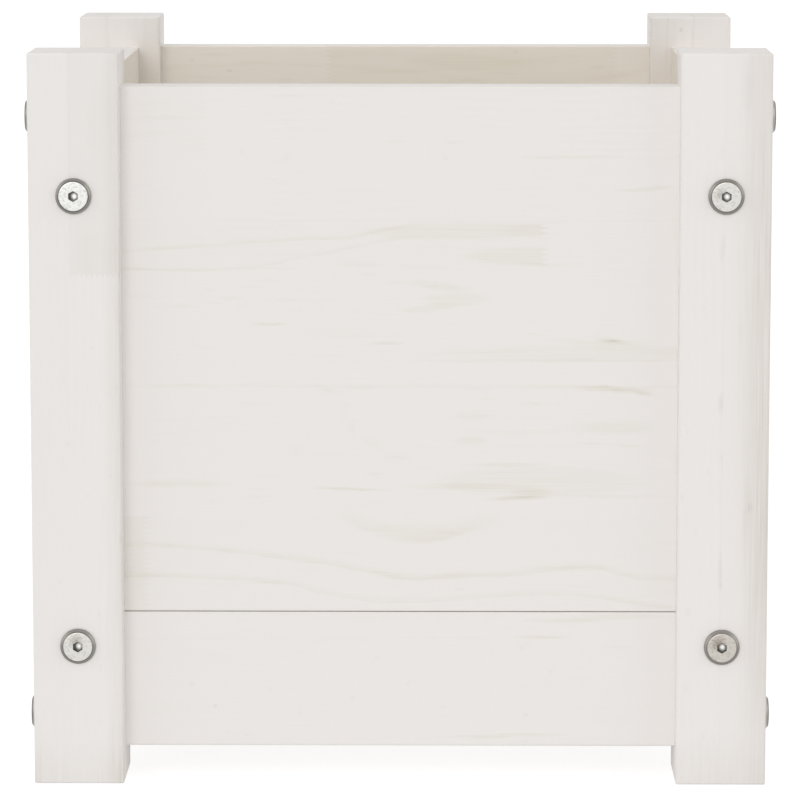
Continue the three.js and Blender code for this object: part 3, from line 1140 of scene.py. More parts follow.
LEFT_POST = Figure(
    seed=3,
    strips=(Strip(0.0, tones=(0.01, 0.0, 0.0)), Strip(16.9, (93.9, BEYOND), (0.055, 0.0, 0.0))),
    marks=(
        # The first three marks are painted shade at the foot of the post, darkest at its two corners.
        Mark(316.8, 18.2, 54, 90, 0.2),
        Mark(309.6, 37.5, 60, 26, 0.14),
        Mark(309.6, -0.9, 60, 20, 0.14),
        Mark(84.9, 27.6, 32, 26, 0.05, soft=0.6, part=Part.BEFORE),
        Mark(153.9, 38.9, 900, 18, 0.24),
        Mark(98.8, 38.4, 70, 5, 0.06),
        Mark(29.4, 31.1, 50, 16, 0.04, soft=0.6),
        Mark(44.2, 17.5, 120, 0.9, 0.06),
        Mark(194.9, 30.1, 14, 1.4, 0.14),
        Mark(203.4, 30.2, 8, 1.2, 0.10),
        Mark(148.4, 29.1, 6, 1.2, 0.10),
        Mark(132.8, 29.6, 5, 1.0, 0.10),
        Mark(139.8, 24.3, 5, 1.0, 0.10),
        Mark(136.3, 14.8, 5, 1.0, 0.09),
        Mark(123.1, 26.1, 2.5, 2.2, 0.09),
        Mark(164.0, 16.0, 3, 2.2, 0.08),
        Mark(186.2, 23.8, 3, 2.2, 0.08),
        Mark(223.7, 11.8, 3, 2.4, 0.09),
        Mark(140.8, 36.5, 4, 1.6, 0.11),
        Mark(177.9, 33.4, 4, 1.6, 0.09),
        Mark(204.4, 37.4, 8, 2.0, 0.11),
        Mark(236.9, 28.1, 5, 1.4, 0.12),
        Mark(259.8, 28.4, 5, 1.6, 0.10),
        Mark(270.6, 35.8, 4, 1.6, 0.10),
        Mark(283.5, 27.8, 5, 1.6, 0.10),
    ),
)

RIGHT_POST = Figure(
    seed=8,
    strips=(Strip(0.0), Strip(18.2, tones=(0.02, 0.0, 0.0))),
    marks=(
        Mark(108.5, 35.5, 560, 29, 0.26, soft=0.9),
        Mark(249.6, 37.2, 260, 24, 0.12, soft=0.9),
        # Painted shade at the foot of the post.
        Mark(316.2, 19.7, 60, 90, 0.22),
        Mark(153.6, 18.2, 420, 0.9, 0.09),
        Mark(81.7, 17.7, 16, 2.6, 0.20),
        Mark(146.5, 17.6, 12, 3.4, 0.22),
        Mark(169.6, 17.6, 8, 2.0, 0.12),
        Mark(218.1, 17.9, 22, 2.6, 0.19),
        Mark(224.2, 18.6, 5, 2.6, 0.14),
        Mark(190.8, 29.0, 40, 3.4, 0.12),
        Mark(190.8, 30.5, 6, 4.0, 0.12),
        Mark(115.5, 25.6, 18, 3.0, 0.07),
        Mark(41.1, 17.1, 12, 1.8, 0.09),
        Mark(14.5, 28.0, 36, 8.0, 0.10),
        Mark(106.5, 10.0, 4, 1.4, 0.10),
        Mark(158.6, 3.7, 3, 2.2, 0.10),
        Mark(186.8, 1.7, 5, 3.0, 0.10),
        Mark(201.9, 8.1, 4, 1.2, 0.08),
        Mark(175.7, 12.5, 3, 1.6, 0.08),
        Mark(235.4, 4.4, 6, 3.0, 0.09),
        Mark(268.0, 4.1, 8, 3.0, 0.07),
        Mark(289.5, 11.8, 4, 2.0, 0.08),
    ),
)


@dataclass
class Posts:
    """The four square posts, with their bolt holes through both ways."""

    finish: PaintedPine
    arris_radius: float = 0.8
    hole_radius: float = 3.5
    overrun: float = 1.0
    seed: int = 20
    strip: float = 20.0
    marks: int = 16
    streak_seed: int = 60
    side_streaks: int = 12
    # Painted shade: the rear posts are made darker all over, for the less light that reaches them.
    rear_tones: dict[str, float] = field(
        default_factory=lambda: {"post_rear_left": 0.06, "post_rear_right": 0.09}
    )
    slot: str = "painted_pine"

    def build(self) -> None:
        """Builds and dresses the posts."""
        figures = {"post_front_left": LEFT_POST, "post_front_right": RIGHT_POST}
        for n, corner in enumerate(CORNERS):
            node = f"post_{corner}"
            tone = self.rear_tones.get(node, 0.0)
            figure = figures.get(node) or CHANCE.figure(self.seed + n, POST, self.strip, self.marks, tone)
            streaks = CHANCE.side_marks(self.streak_seed + n, POST, self.side_streaks)
            self._post(node, replace(figure, marks=(*figure.marks, *streaks)))

    def _post(self, node: str, figure: Figure) -> None:
        """Builds and dresses one post.

        Args:
            node: The CAD node that it stands for.
            figure: The figure of its wood.
        """
        box = Box.of(node)
        low, high = box.low / MM, box.high / MM
        mesh = carve(eased_block(low, high, self.arris_radius), self._holes(node, low, high))
        thing = to_object(f"painted_{node}", mesh, Matrix.Scale(MM, 4))
        ahead = 1 if "front" in node else -1
        grain = GrainFrame.of(box, Vector((0, 0, -1)), Vector((0, ahead, 0)), Vector((ahead, 0, 0)))
        show(thing, node, self.finish.material(f"painted_pine_{node}", grain, figure))

    def _holes(self, node: str, low: Vector, high: Vector) -> list[bmesh.types.BMesh]:
        """Makes the tools for a post's bolt holes.

        Args:
            node: The post's CAD node, whose name its bolts' names share.
            low: Lowest corner of the post, in millimetres.
            high: Its highest corner.

        Returns:
            The tools.
        """
        corner = node.removeprefix("post_")
        facing = corner.split("_")[0]
        tools = []
        for axis, word in ((1, facing), (0, "side")):
            for level in ("lower", "upper"):
                start = Box.of(f"bolt_{corner}_{word}_{level}").middle / MM
                end = start.copy()
                start[axis] = low[axis] - self.overrun
                end[axis] = high[axis] + self.overrun
                tools.append(drill(self.hole_radius, start, end))
        return tools


# -------------------------------------------------------------------------------------------------
# Panels
# -------------------------------------------------------------------------------------------------

FRONT_PANEL = Figure(
    seed=1,
    strips=(
        Strip(0.0, (36.3, BEYOND), (0.008, 0.0, 0.0)),
        Strip(29.5),
        Strip(56.7, (179.3, BEYOND), (0.01, 0.0, 0.0)),
        Strip(76.6, (119.1, BEYOND), (0.0, 0.0, 0.0)),
        Strip(126.4),
        Strip(181.2, (11.2, BEYOND), (0.074, 0.008, 0.0)),
        Strip(222.6),
    ),
    lines=(
        GrainLine(((0, 56.7), (120, 56.5), (233, 56.6)), 1.0, 0.08),
        GrainLine(
            ((0, 69.7), (25, 67.8), (52, 65.8), (72, 64.5), (98, 63.1), (113, 59.8), (131, 57.3)),
            2.2,
            0.17,
            until=136,
        ),
        GrainLine(
            ((0, 76.7), (57, 75.8), (76, 71.8), (94, 68.5), (113, 64.4), (150, 61.8)), 2.2, 0.12, until=128
        ),
        GrainLine(((0, 76.7), (120, 76.5), (233, 76.5)), 1.0, 0.09, until=80),
        GrainLine(((0, 126.5), (90, 126.5), (233, 126.8)), 1.8, 0.10),
        GrainLine(
            (
                (0, 194.3), (38, 196.5), (60, 199.0), (83, 201.8), (105, 205.9), (120, 208.9), (139, 207.8),
                (161, 207.3), (188, 204.2), (199, 203.5), (207, 206.3), (233, 209.1),
            ),
            3.2,
            0.21,
        ),
        GrainLine(
            (
                (0, 207.6), (51, 209.4), (69, 211.3), (94, 217.0), (120, 218.9), (139, 217.8), (174, 215.3),
                (195, 216.0), (212, 218.7), (233, 221.7),
            ),
            2.8,
            0.19,
        ),
        GrainLine(
            ((0, 179.3), (90, 182.2), (104, 187.6), (122, 192.1), (142, 188.8), (158, 183.3)),
            7.5,
            0.27,
            since=90,
            until=160,
        ),
        GrainLine(((0, 235.0), (70, 234.5), (233, 234.7)), 1.2, 0.07, until=200),
    ),
    marks=(
        # Upper strips
        Mark(69.8, 3.8, 20, 1.6, 0.14),
        Mark(172.2, 1.9, 20, 1.8, 0.08),
        Mark(208.6, 11.2, 12, 1.6, 0.08),
        Mark(21.5, 9.5, 60, 12.0, 0.03, soft=0.6, part=Part.BEFORE),
        Mark(15.6, 13.3, 44, 3.0, 0.12, part=Part.BEFORE),
        Mark(31.3, 23.3, 30, 9.0, 0.025, soft=0.6, part=Part.BEFORE),
        Mark(11.6, 19.9, 30, 3.4, 0.12),
        Mark(114.1, 23.1, 10, 1.6, 0.09),
        Mark(139.3, 23.0, 10, 1.6, 0.09),
        Mark(186.1, 29.4, 56, 2.0, 0.16, soft=0.6),
        Mark(219.7, 42.9, 34, 2.8, 0.19, slope=-0.08, soft=0.7),
        Mark(212.9, 52.8, 30, 1.8, 0.06),
        Mark(145.7, 60.4, 104, 8.4, 0.14, slope=-0.02, soft=0.4, part=Part.BEFORE),
        Mark(175.4, 60.4, 40, 8.4, 0.06, soft=0.4, part=Part.BEFORE),
        Mark(171.5, 71.2, 66, 9.4, 0.16, soft=0.4, part=Part.BEFORE),
        Mark(31.0, 76.7, 100, 1.2, 0.10),
        Mark(100.3, 74.8, 24, 2.8, 0.12),
        Mark(127.0, 75.6, 28, 2.0, 0.09),
        Mark(179.4, 74.7, 40, 2.2, 0.12),
        Mark(209.1, 77.3, 16, 2.0, 0.07),
        # Middle strip
        Mark(61.6, 81.4, 12, 1.4, 0.13),
        Mark(55.2, 84.2, 12, 1.4, 0.13),
        Mark(37.4, 85.5, 7, 1.4, 0.12),
        Mark(45.7, 88.8, 12, 2.2, 0.13),
        Mark(39.3, 91.0, 12, 1.4, 0.13),
        Mark(70.5, 89.6, 16, 1.6, 0.13),
        Mark(50.5, 92.3, 9, 1.4, 0.11),
        Mark(24.9, 92.3, 14, 2.4, 0.10),
        Mark(6.1, 87.5, 14, 4.0, 0.10),
        Mark(103.2, 78.8, 16, 2.0, 0.09),
        Mark(132.9, 83.7, 34, 5.0, 0.16, slope=0.12, soft=0.6, part=Part.AFTER),
        Mark(139.9, 89.5, 34, 7.5, 0.16, soft=0.5, part=Part.AFTER),
        Mark(128.0, 93.2, 32, 4.4, 0.16, slope=-0.08, soft=0.6, part=Part.AFTER),
        Mark(115.1, 82.3, 12, 1.8, 0.14),
        Mark(110.1, 96.3, 10, 1.6, 0.13),
        Mark(62.0, 100.0, 20, 1.9, 0.30, soft=0.7),
        Mark(111.1, 108.1, 18, 1.9, 0.22, soft=0.7),
        Mark(92.3, 103.7, 40, 7.0, 0.05),
        Mark(173.6, 104.3, 14, 1.6, 0.12),
        Mark(189.5, 107.1, 30, 3.0, 0.12, slope=0.06),
        Mark(206.1, 106.9, 15, 2.6, 0.372, slope=0.13),
        Mark(205.3, 106.9, 24, 4.6, 0.22, slope=0.13),
        Mark(207.3, 108.6, 44, 5.5, 0.16),
        Mark(195.4, 112.2, 160, 8.4, 0.12, soft=0.5, part=Part.AFTER),
        Mark(175.6, 115.3, 150, 1.8, 0.13, soft=0.5, part=Part.AFTER),
        # Line between the middle and the lower strip
        Mark(22.7, 126.5, 40, 2.6, 0.13),
        Mark(86.3, 127.8, 14, 3.4, 0.18, slope=0.25),
        Mark(100.2, 126.8, 18, 3.2, 0.13),
        Mark(93.2, 135.8, 5, 16, 0.07),
        Mark(96.2, 143.8, 5, 10, 0.09),
        Mark(105.1, 150.9, 14, 5, 0.09, slope=0.5),
        Mark(149.9, 127.3, 16, 2.4, 0.12),
        Mark(194.5, 126.9, 70, 2.2, 0.16),
        Mark(207.5, 127.6, 36, 3.6, 0.46, slope=0.03),
        Mark(218.9, 129.0, 14, 2.8, 0.40, slope=0.22),
        # Lower strip
        Mark(153.8, 131.7, 9, 1.8, 0.11),
        Mark(173.4, 133.9, 12, 3.0, 0.09),
        Mark(147.4, 138.8, 18, 5.0, 0.11, soft=0.6),
        Mark(146.9, 149.3, 18, 5.0, 0.13, soft=0.6),
        Mark(169.8, 145.8, 70, 3.0, 0.07),
        Mark(207.6, 143.7, 46, 8.0, 0.16, soft=0.7),
        Mark(197.4, 150.4, 14, 1.9, 0.18),
        Mark(213.6, 151.4, 14, 1.9, 0.15),
        Mark(73.3, 154.4, 9, 5.0, 0.08),
        Mark(115.6, 156.2, 16, 3.6, 0.12, slope=0.12),
        Mark(106.1, 163.8, 9, 1.8, 0.14),
        Mark(162.9, 159.7, 44, 2.8, 0.16, soft=0.7),
        Mark(175.9, 166.9, 100, 15.0, 0.13, soft=0.35),
        Mark(144.0, 169.0, 70, 4.0, 0.12, soft=0.6),
        Mark(95.2, 170.1, 40, 1.9, 0.28, slope=0.03, soft=0.7),
        Mark(165.9, 174.0, 36, 2.8, 0.34, slope=-0.03, soft=0.8),
        Mark(171.9, 171.6, 24, 7.5, 0.18, soft=0.8),
        Mark(206.8, 173.1, 70, 2.4, 0.16),
        Mark(22.4, 167.9, 52, 5.0, 0.14, soft=0.6),
        Mark(58.3, 170.3, 12, 1.4, 0.10),
        Mark(56.2, 173.7, 14, 1.6, 0.09),
        Mark(37.3, 175.4, 12, 1.4, 0.12),
        Mark(124.1, 187.6, 50, 7.0, 0.06, soft=0.6),
        Mark(142.1, 213.2, 7, 1.6, 0.16),
        Mark(112.1, 207.1, 34, 4.0, 0.14, slope=0.14),
        Mark(136.1, 208.1, 30, 4.0, 0.10),
        Mark(190.0, 203.9, 50, 4.6, 0.14),
        Mark(4.1, 202.6, 12, 38.0, 0.08),
        # Lower board
        Mark(187.1, 226.5, 44, 3.2, 0.2, soft=0.6),
        Mark(212.1, 225.0, 60, 3.0, 0.16, soft=0.7),
        Mark(100.1, 225.4, 60, 2.2, 0.08),
        Mark(177.2, 233.6, 30, 2.1, 0.24, soft=0.7),
        Mark(209.2, 238.1, 20, 1.6, 0.09),
        Mark(162.3, 276.5, 60, 2.2, 0.19, slope=-0.02, soft=0.6),
        *(
            Mark(along, down, 3.0, 2.8, dark)
            for along, down, dark in (
                (28.0, 254.5, 0.18), (107.1, 243.4, 0.14), (120.3, 253.8, 0.15), (96.7, 260.6, 0.17),
                (61.4, 256.5, 0.10), (135.0, 264.1, 0.15), (74.1, 266.7, 0.16), (51.3, 276.4, 0.16),
                (170.3, 267.6, 0.20), (181.0, 248.9, 0.14), (170.3, 279.3, 0.16), (168.2, 238.1, 0.16),
                (50.8, 27.3, 0.14), (69.2, 29.6, 0.14), (135.8, 29.7, 0.12), (88.5, 6.0, 0.10),
                (170.2, 236.9, 0.10),
            )
        ),
        Mark(38.2, 263.9, 2.4, 2.2, 0.4),
    ),
)

REAR_PANEL = Figure(
    seed=5,
    strips=(
        Strip(0.0, (18.3, 155.3), (0.0, 0.07, 0.0)),
        Strip(52.0, (120.0, BEYOND), (0.012, 0.0, 0.0)),
        Strip(96.0, (64.0, 200.0), (0.0, 0.02, 0.0)),
        Strip(150.0, (30.0, 176.0), (0.01, 0.0, 0.02)),
        Strip(222.8, (150.0, BEYOND), (0.0, 0.012, 0.0)),
    ),
    marks=(
        *(
            Mark(*form, inward=PANEL.depth)
            for form in (
                (201.0, 11.5, 4.0, 2.4, 0.40), (219.0, 7.0, 4.0, 2.4, 0.25), (24.0, 10.0, 10.0, 2.4, 0.30),
                (60.0, 7.0, 60.0, 5.0, 0.10), (120.0, 12.0, 60.0, 3.0, 0.12, 0.03),
                (208.0, 4.0, 26.0, 2.2, 0.16), (186.0, 8.0, 30.0, 2.0, 0.14, -0.04),
                (213.0, 15.0, 40.0, 3.0, 0.14), (176.0, 16.0, 24.0, 2.4, 0.16),
                (150.0, 5.0, 18.0, 1.8, 0.14), (96.0, 17.0, 50.0, 3.4, 0.14, 0.05),
                (70.0, 13.0, 22.0, 2.0, 0.16), (40.0, 5.0, 30.0, 2.0, 0.12), (12.0, 14.0, 20.0, 2.4, 0.16),
            )
        ),
        Mark(60.0, 40.0, 80.0, 7.0, 0.10),
        Mark(150.0, 84.0, 50.0, 4.0, 0.12, slope=0.04),
        Mark(90.0, 128.0, 30.0, 2.0, 0.20),
        Mark(180.0, 170.0, 70.0, 9.0, 0.10),
        Mark(40.0, 196.0, 2.6, 2.2, 0.35),
        Mark(130.0, 250.0, 60.0, 3.0, 0.10),
        Mark(196.0, 262.0, 2.4, 2.0, 0.25),
    ),
    lines=(
        GrainLine(((0, 60), (70, 63), (140, 70), (233, 66)), 1.8, 0.06),
        GrainLine(((0, 160), (60, 158), (120, 164), (180, 161), (233, 166)), 1.6, 0.06),
        GrainLine(((0, 206), (80, 211), (150, 207), (233, 213)), 1.8, 0.06),
    ),
)


class Side(Enum):
    """A side of the planter, by the turn about z that brings it from the front."""

    FRONT = 0
    RIGHT = 90
    REAR = 180
    LEFT = 270

    @property
    def word(self) -> str:
        """Returns the side's word in the names of the CAD nodes."""
        return self.name.lower()

    @property
    def ends(self) -> tuple[str, str]:
        """Returns the words for the left and the right end, seen from outside."""
        return {
            Side.FRONT: ("left", "right"),
            Side.RIGHT: ("front", "rear"),
            Side.REAR: ("right", "left"),
            Side.LEFT: ("rear", "front"),
        }[self]


@dataclass
class Panel:
    """One side's panel: a wide upper board over a narrow lower one, tongued and grooved."""

    side: Side
    finish: PaintedPine
    figure: Figure
    edge_radius: float = 0.6
    seam_radius: float = 0.4
    end_reach: float = 0.28  # closes the room that the frame leaves between a board's end and its post
    tongue_thickness: float = 6.0
    tongue_height: float = 6.0
    groove_gap: float = 0.3
    insert_bore_radius: float = 5.3
    insert_bore_depth: float = 14.8
    screw_bore_radius: float = 2.05
    overrun: float = 1.0
    slot: str = "painted_pine"

    def build(self) -> None:
        """Builds and dresses both boards."""
        self._board("upper")
        self._board("lower")

    def _grain(self, board: Box, top: float) -> GrainFrame:
        """Finds where the figure of a board is measured from.

        Args:
            board: The board's room.
            top: Height of the top of the panel, in metres.

        Returns:
            The frame, whose corner is the panel's outer, upper left one, seen from outside.
        """
        turn = Matrix.Rotation(math.radians(self.side.value), 3, "Z")
        own = GrainFrame.of(board, turn @ Vector((1, 0, 0)), turn @ Vector((0, 1, 0)), Vector((0, 0, -1)))
        shoulder = self.tongue_height * MM if board.high.z < top else 0.0
        height = (top - (board.high.z - shoulder)) / MM, (top - board.low.z) / MM
        return replace(own, corner=Vector((*own.corner.xy, top)), height=height)

    def _board(self, level: str) -> None:
        """Builds and dresses one board.

        Args:
            level: "upper" or "lower".
        """
        node = f"{level}_board_{self.side.word}"
        top = Box.of(f"upper_board_{self.side.word}").high.z
        box = Box.of(node)
        grain = self._grain(box, top)
        length = 2 * (box.middle - grain.corner).dot(grain.along) / MM
        mesh = prism(self._outline(level, grain), length + 2 * self.end_reach)
        bmesh.ops.translate(mesh, vec=(-self.end_reach, 0, 0), verts=mesh.verts)
        mesh = carve(mesh, self._bores(level, grain, length))
        thing = to_object(f"painted_{node}", mesh, grain.place())
        figure = self.figure.within(*grain.height)
        show(thing, node, self.finish.material(f"painted_pine_{node}", grain, figure))

    def _outline(self, level: str, grain: GrainFrame) -> list[Point]:
        """Draws the section of a board, measured inward and down.

        Args:
            level: "upper" or "lower".
            grain: The board's frame, with its section.

        Returns:
            The points of the section.
        """
        thick = grain.depth[1]
        upper, lower = grain.height
        half = self.tongue_thickness / 2
        middle = thick / 2
        ease, seam = self.edge_radius, self.seam_radius
        if level == "upper":
            half += self.groove_gap
            roof = lower - self.tongue_height
            corners = [
                (0, upper, ease),
                (thick, upper, ease),
                (thick, lower, seam),
                (middle + half, lower, 0),
                (middle + half, roof, 0),
                (middle - half, roof, 0),
                (middle - half, lower, 0),
                (0, lower, seam),
            ]
        else:
            tip = upper - self.tongue_height
            corners = [
                (middle - half, upper, 0),
                (middle - half, tip, 0),
                (middle + half, tip, 0),
                (middle + half, upper, 0),
                (thick, upper, seam),
                (thick, lower, ease),
                (0, lower, ease),
                (0, upper, seam),
            ]
        return eased_outline(corners)

    def _bores(self, level: str, grain: GrainFrame, length: float) -> list[bmesh.types.BMesh]:
        """Makes the tools for the insert bores in a board's ends, and for its cleat's screws.

        Args:
            level: "upper" or "lower".
            grain: The board's frame.
            length: The board's length.

        Returns:
            The tools.
        """
        into = grain.place().inverted()
        tools = []
        for end, start, step in zip(self.side.ends, (0.0, length), (1, -1)):
            centre = into @ Box.of(f"insert_{self.side.word}_{level}_{end}").middle
            mouth = Vector((start - step * self.overrun, centre.y, centre.z))
            floor = Vector((start + step * self.insert_bore_depth, centre.y, centre.z))
            tools.append(drill(self.insert_bore_radius, mouth, floor))
        if level == "lower" and self.side in (Side.LEFT, Side.RIGHT):
            for end in ("front", "rear"):
                screw = Box.of(f"cleat_screw_{self.side.word}_{end}")
                head, tip = sorted((into @ screw.low, into @ screw.high), key=lambda p: -p.y)
                centre = (head + tip) / 2
                mouth = Vector((centre.x, grain.depth[1] + self.overrun, centre.z))
                floor = Vector((centre.x, tip.y - self.groove_gap, centre.z))
                tools.append(drill(self.screw_bore_radius, mouth, floor, segments=24))
        return tools


# -------------------------------------------------------------------------------------------------
# Fasteners
# -------------------------------------------------------------------------------------------------


@dataclass
class Bolts:
    """The connector bolts and the threaded inserts that they screw into."""

    plain: PlatedSteel
    finishes: dict[str, PlatedSteel]
    insert_finish: PlatedSteel
    head_height: float = 2.3
    head_radius: float = 7.5
    head_clearance: float = 0.002  # keeps the head within the planter's own box
    disc_radius: float = 6.1
    disc_edge: tuple[Point, ...] = ((-0.25, 0.0), (-0.07, -0.04), (0.05, -0.14))  # outward and up
    rim_height: float = 0.9
    rim_edge: tuple[Point, ...] = ((-0.12, 0.12), (0.0, -0.12))  # outward and up
    foot_ease: float = 0.15
    shank_radius: float = 3.0
    thread_root: float = 2.5
    thread_pitch: float = 1.0
    thread_length: float = 22.0
    thread_slack: float = 0.05  # how much thinner than the shank the thread is
    thread_runout: float = 0.5
    tip_chamfer: float = 1.0
    socket_corner: float = 2.31
    socket_depth: float = 2.4
    socket_cone: float = 0.6
    overrun: float = 1.0
    insert_bore: float = 3.3
    insert_root: float = 4.2
    insert_pitch: float = 2.0
    insert_collar: float = 0.8
    insert_runout: float = 0.4
    segments: int = 72
    insert_segments: int = 48
    slot: str = "zinc_plated_steel"
    insert_slot: str = "yellow_zinc_steel"

    def build(self) -> None:
        """Builds and dresses the bolts and inserts."""
        worn: dict[str, bpy.types.Material] = {}
        for node in sorted(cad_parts):
            if node.startswith("bolt_"):
                finish = self.finishes.get(node, self.plain)
                key = node if node in self.finishes else "plain"
                if key not in worn:
                    worn[key] = finish.material(f"zinc_plated_steel_{key}")
                self._bolt(node, worn[key])
            elif node.startswith("insert_"):
                if "insert" not in worn:
                    worn["insert"] = self.insert_finish.material("yellow_zinc_steel")
                self._insert(node, worn["insert"])

    def _outward(self, node: str) -> Vector:
        """Finds which way a bolt's head looks.

        Args:
            node: The bolt's CAD node.

        Returns:
            The direction.
        """
        _, y_word, x_word, face, _ = node.split("_")
        if face == "side":
            return Vector((1 if x_word == "right" else -1, 0, 0))
        return Vector((0, 1 if y_word == "rear" else -1, 0))

    def _bolt(self, node: str, material: bpy.types.Material) -> None:
        """Builds and dresses one bolt, whose origin is in the middle of its head's underside.

        Args:
            node: The CAD node that it stands for.
            material: Its finish.
        """
        box = Box.of(node)
        out = self._outward(node)
        reach = abs(box.size.dot(out)) / MM
        length = reach - self.head_height
        top = self.head_height - self.head_clearance
        thread_start = -length + self.thread_length
        profile = [
            (0, top),
            *((self.disc_radius + outward, top + up) for outward, up in self.disc_edge),
            *((self.head_radius + outward, self.rim_height + up) for outward, up in self.rim_edge),
            (self.head_radius, self.foot_ease),
            (self.head_radius - self.foot_ease, 0),
            (self.shank_radius, 0),
            (self.shank_radius, thread_start),
            *threaded(
                self.shank_radius - self.thread_slack,
                self.thread_root,
                thread_start - self.thread_runout,
                -length + self.tip_chamfer,
                self.thread_pitch,
            ),
            (self.shank_radius - self.tip_chamfer, -length),
            (0, -length),
        ]
        floor, mouth, wide = top - self.socket_depth, top + self.overrun, self.socket_corner
        hexagon = [(0, floor - self.socket_cone), (wide, floor), (wide, mouth), (0, mouth)]
        socket = turned(hexagon, segments=6)
        bmesh.ops.rotate(socket, verts=socket.verts, matrix=Matrix.Rotation(math.pi / 6, 3, "Z"))
        head = carve(turned(profile, self.segments), [socket])
        thing = to_object(f"plated_{node}", head, Matrix.Scale(MM, 4))
        up = Vector((0, 0, 1))
        turn = Matrix((up.cross(out), up, out)).transposed().to_4x4()
        seat = box.middle + out * (reach / 2 - self.head_height) * MM
        thing.matrix_world = Matrix.Translation(seat) @ turn
        show(thing, node, material)

    def _insert(self, node: str, material: bpy.types.Material) -> None:
        """Builds and dresses one threaded insert, whose origin is in its middle.

        Args:
            node: The CAD node that it stands for.
            material: Its finish.
        """
        box = Box.of(node)
        axis = Vector((1, 0, 0)) if box.size.y < box.size.x else Vector((0, 1, 0))
        half = box.size.dot(axis) / 2 / MM
        outside = (box.size.z / 2) / MM
        collar = half - self.insert_collar
        profile = [
            (self.insert_bore, half),
            (outside, half),
            (outside, collar),
            *threaded(outside, self.insert_root, collar - self.insert_runout, -collar, self.insert_pitch),
            (self.insert_root, -half),
            (self.insert_bore, -half),
            (self.insert_bore, half),
        ]
        ring = turned(profile, self.insert_segments)
        bmesh.ops.remove_doubles(ring, verts=ring.verts, dist=1e-5)
        thing = to_object(f"plated_{node}", ring, Matrix.Scale(MM, 4))
        thing.matrix_world = upright(box.middle, axis)
        show(thing, node, material)


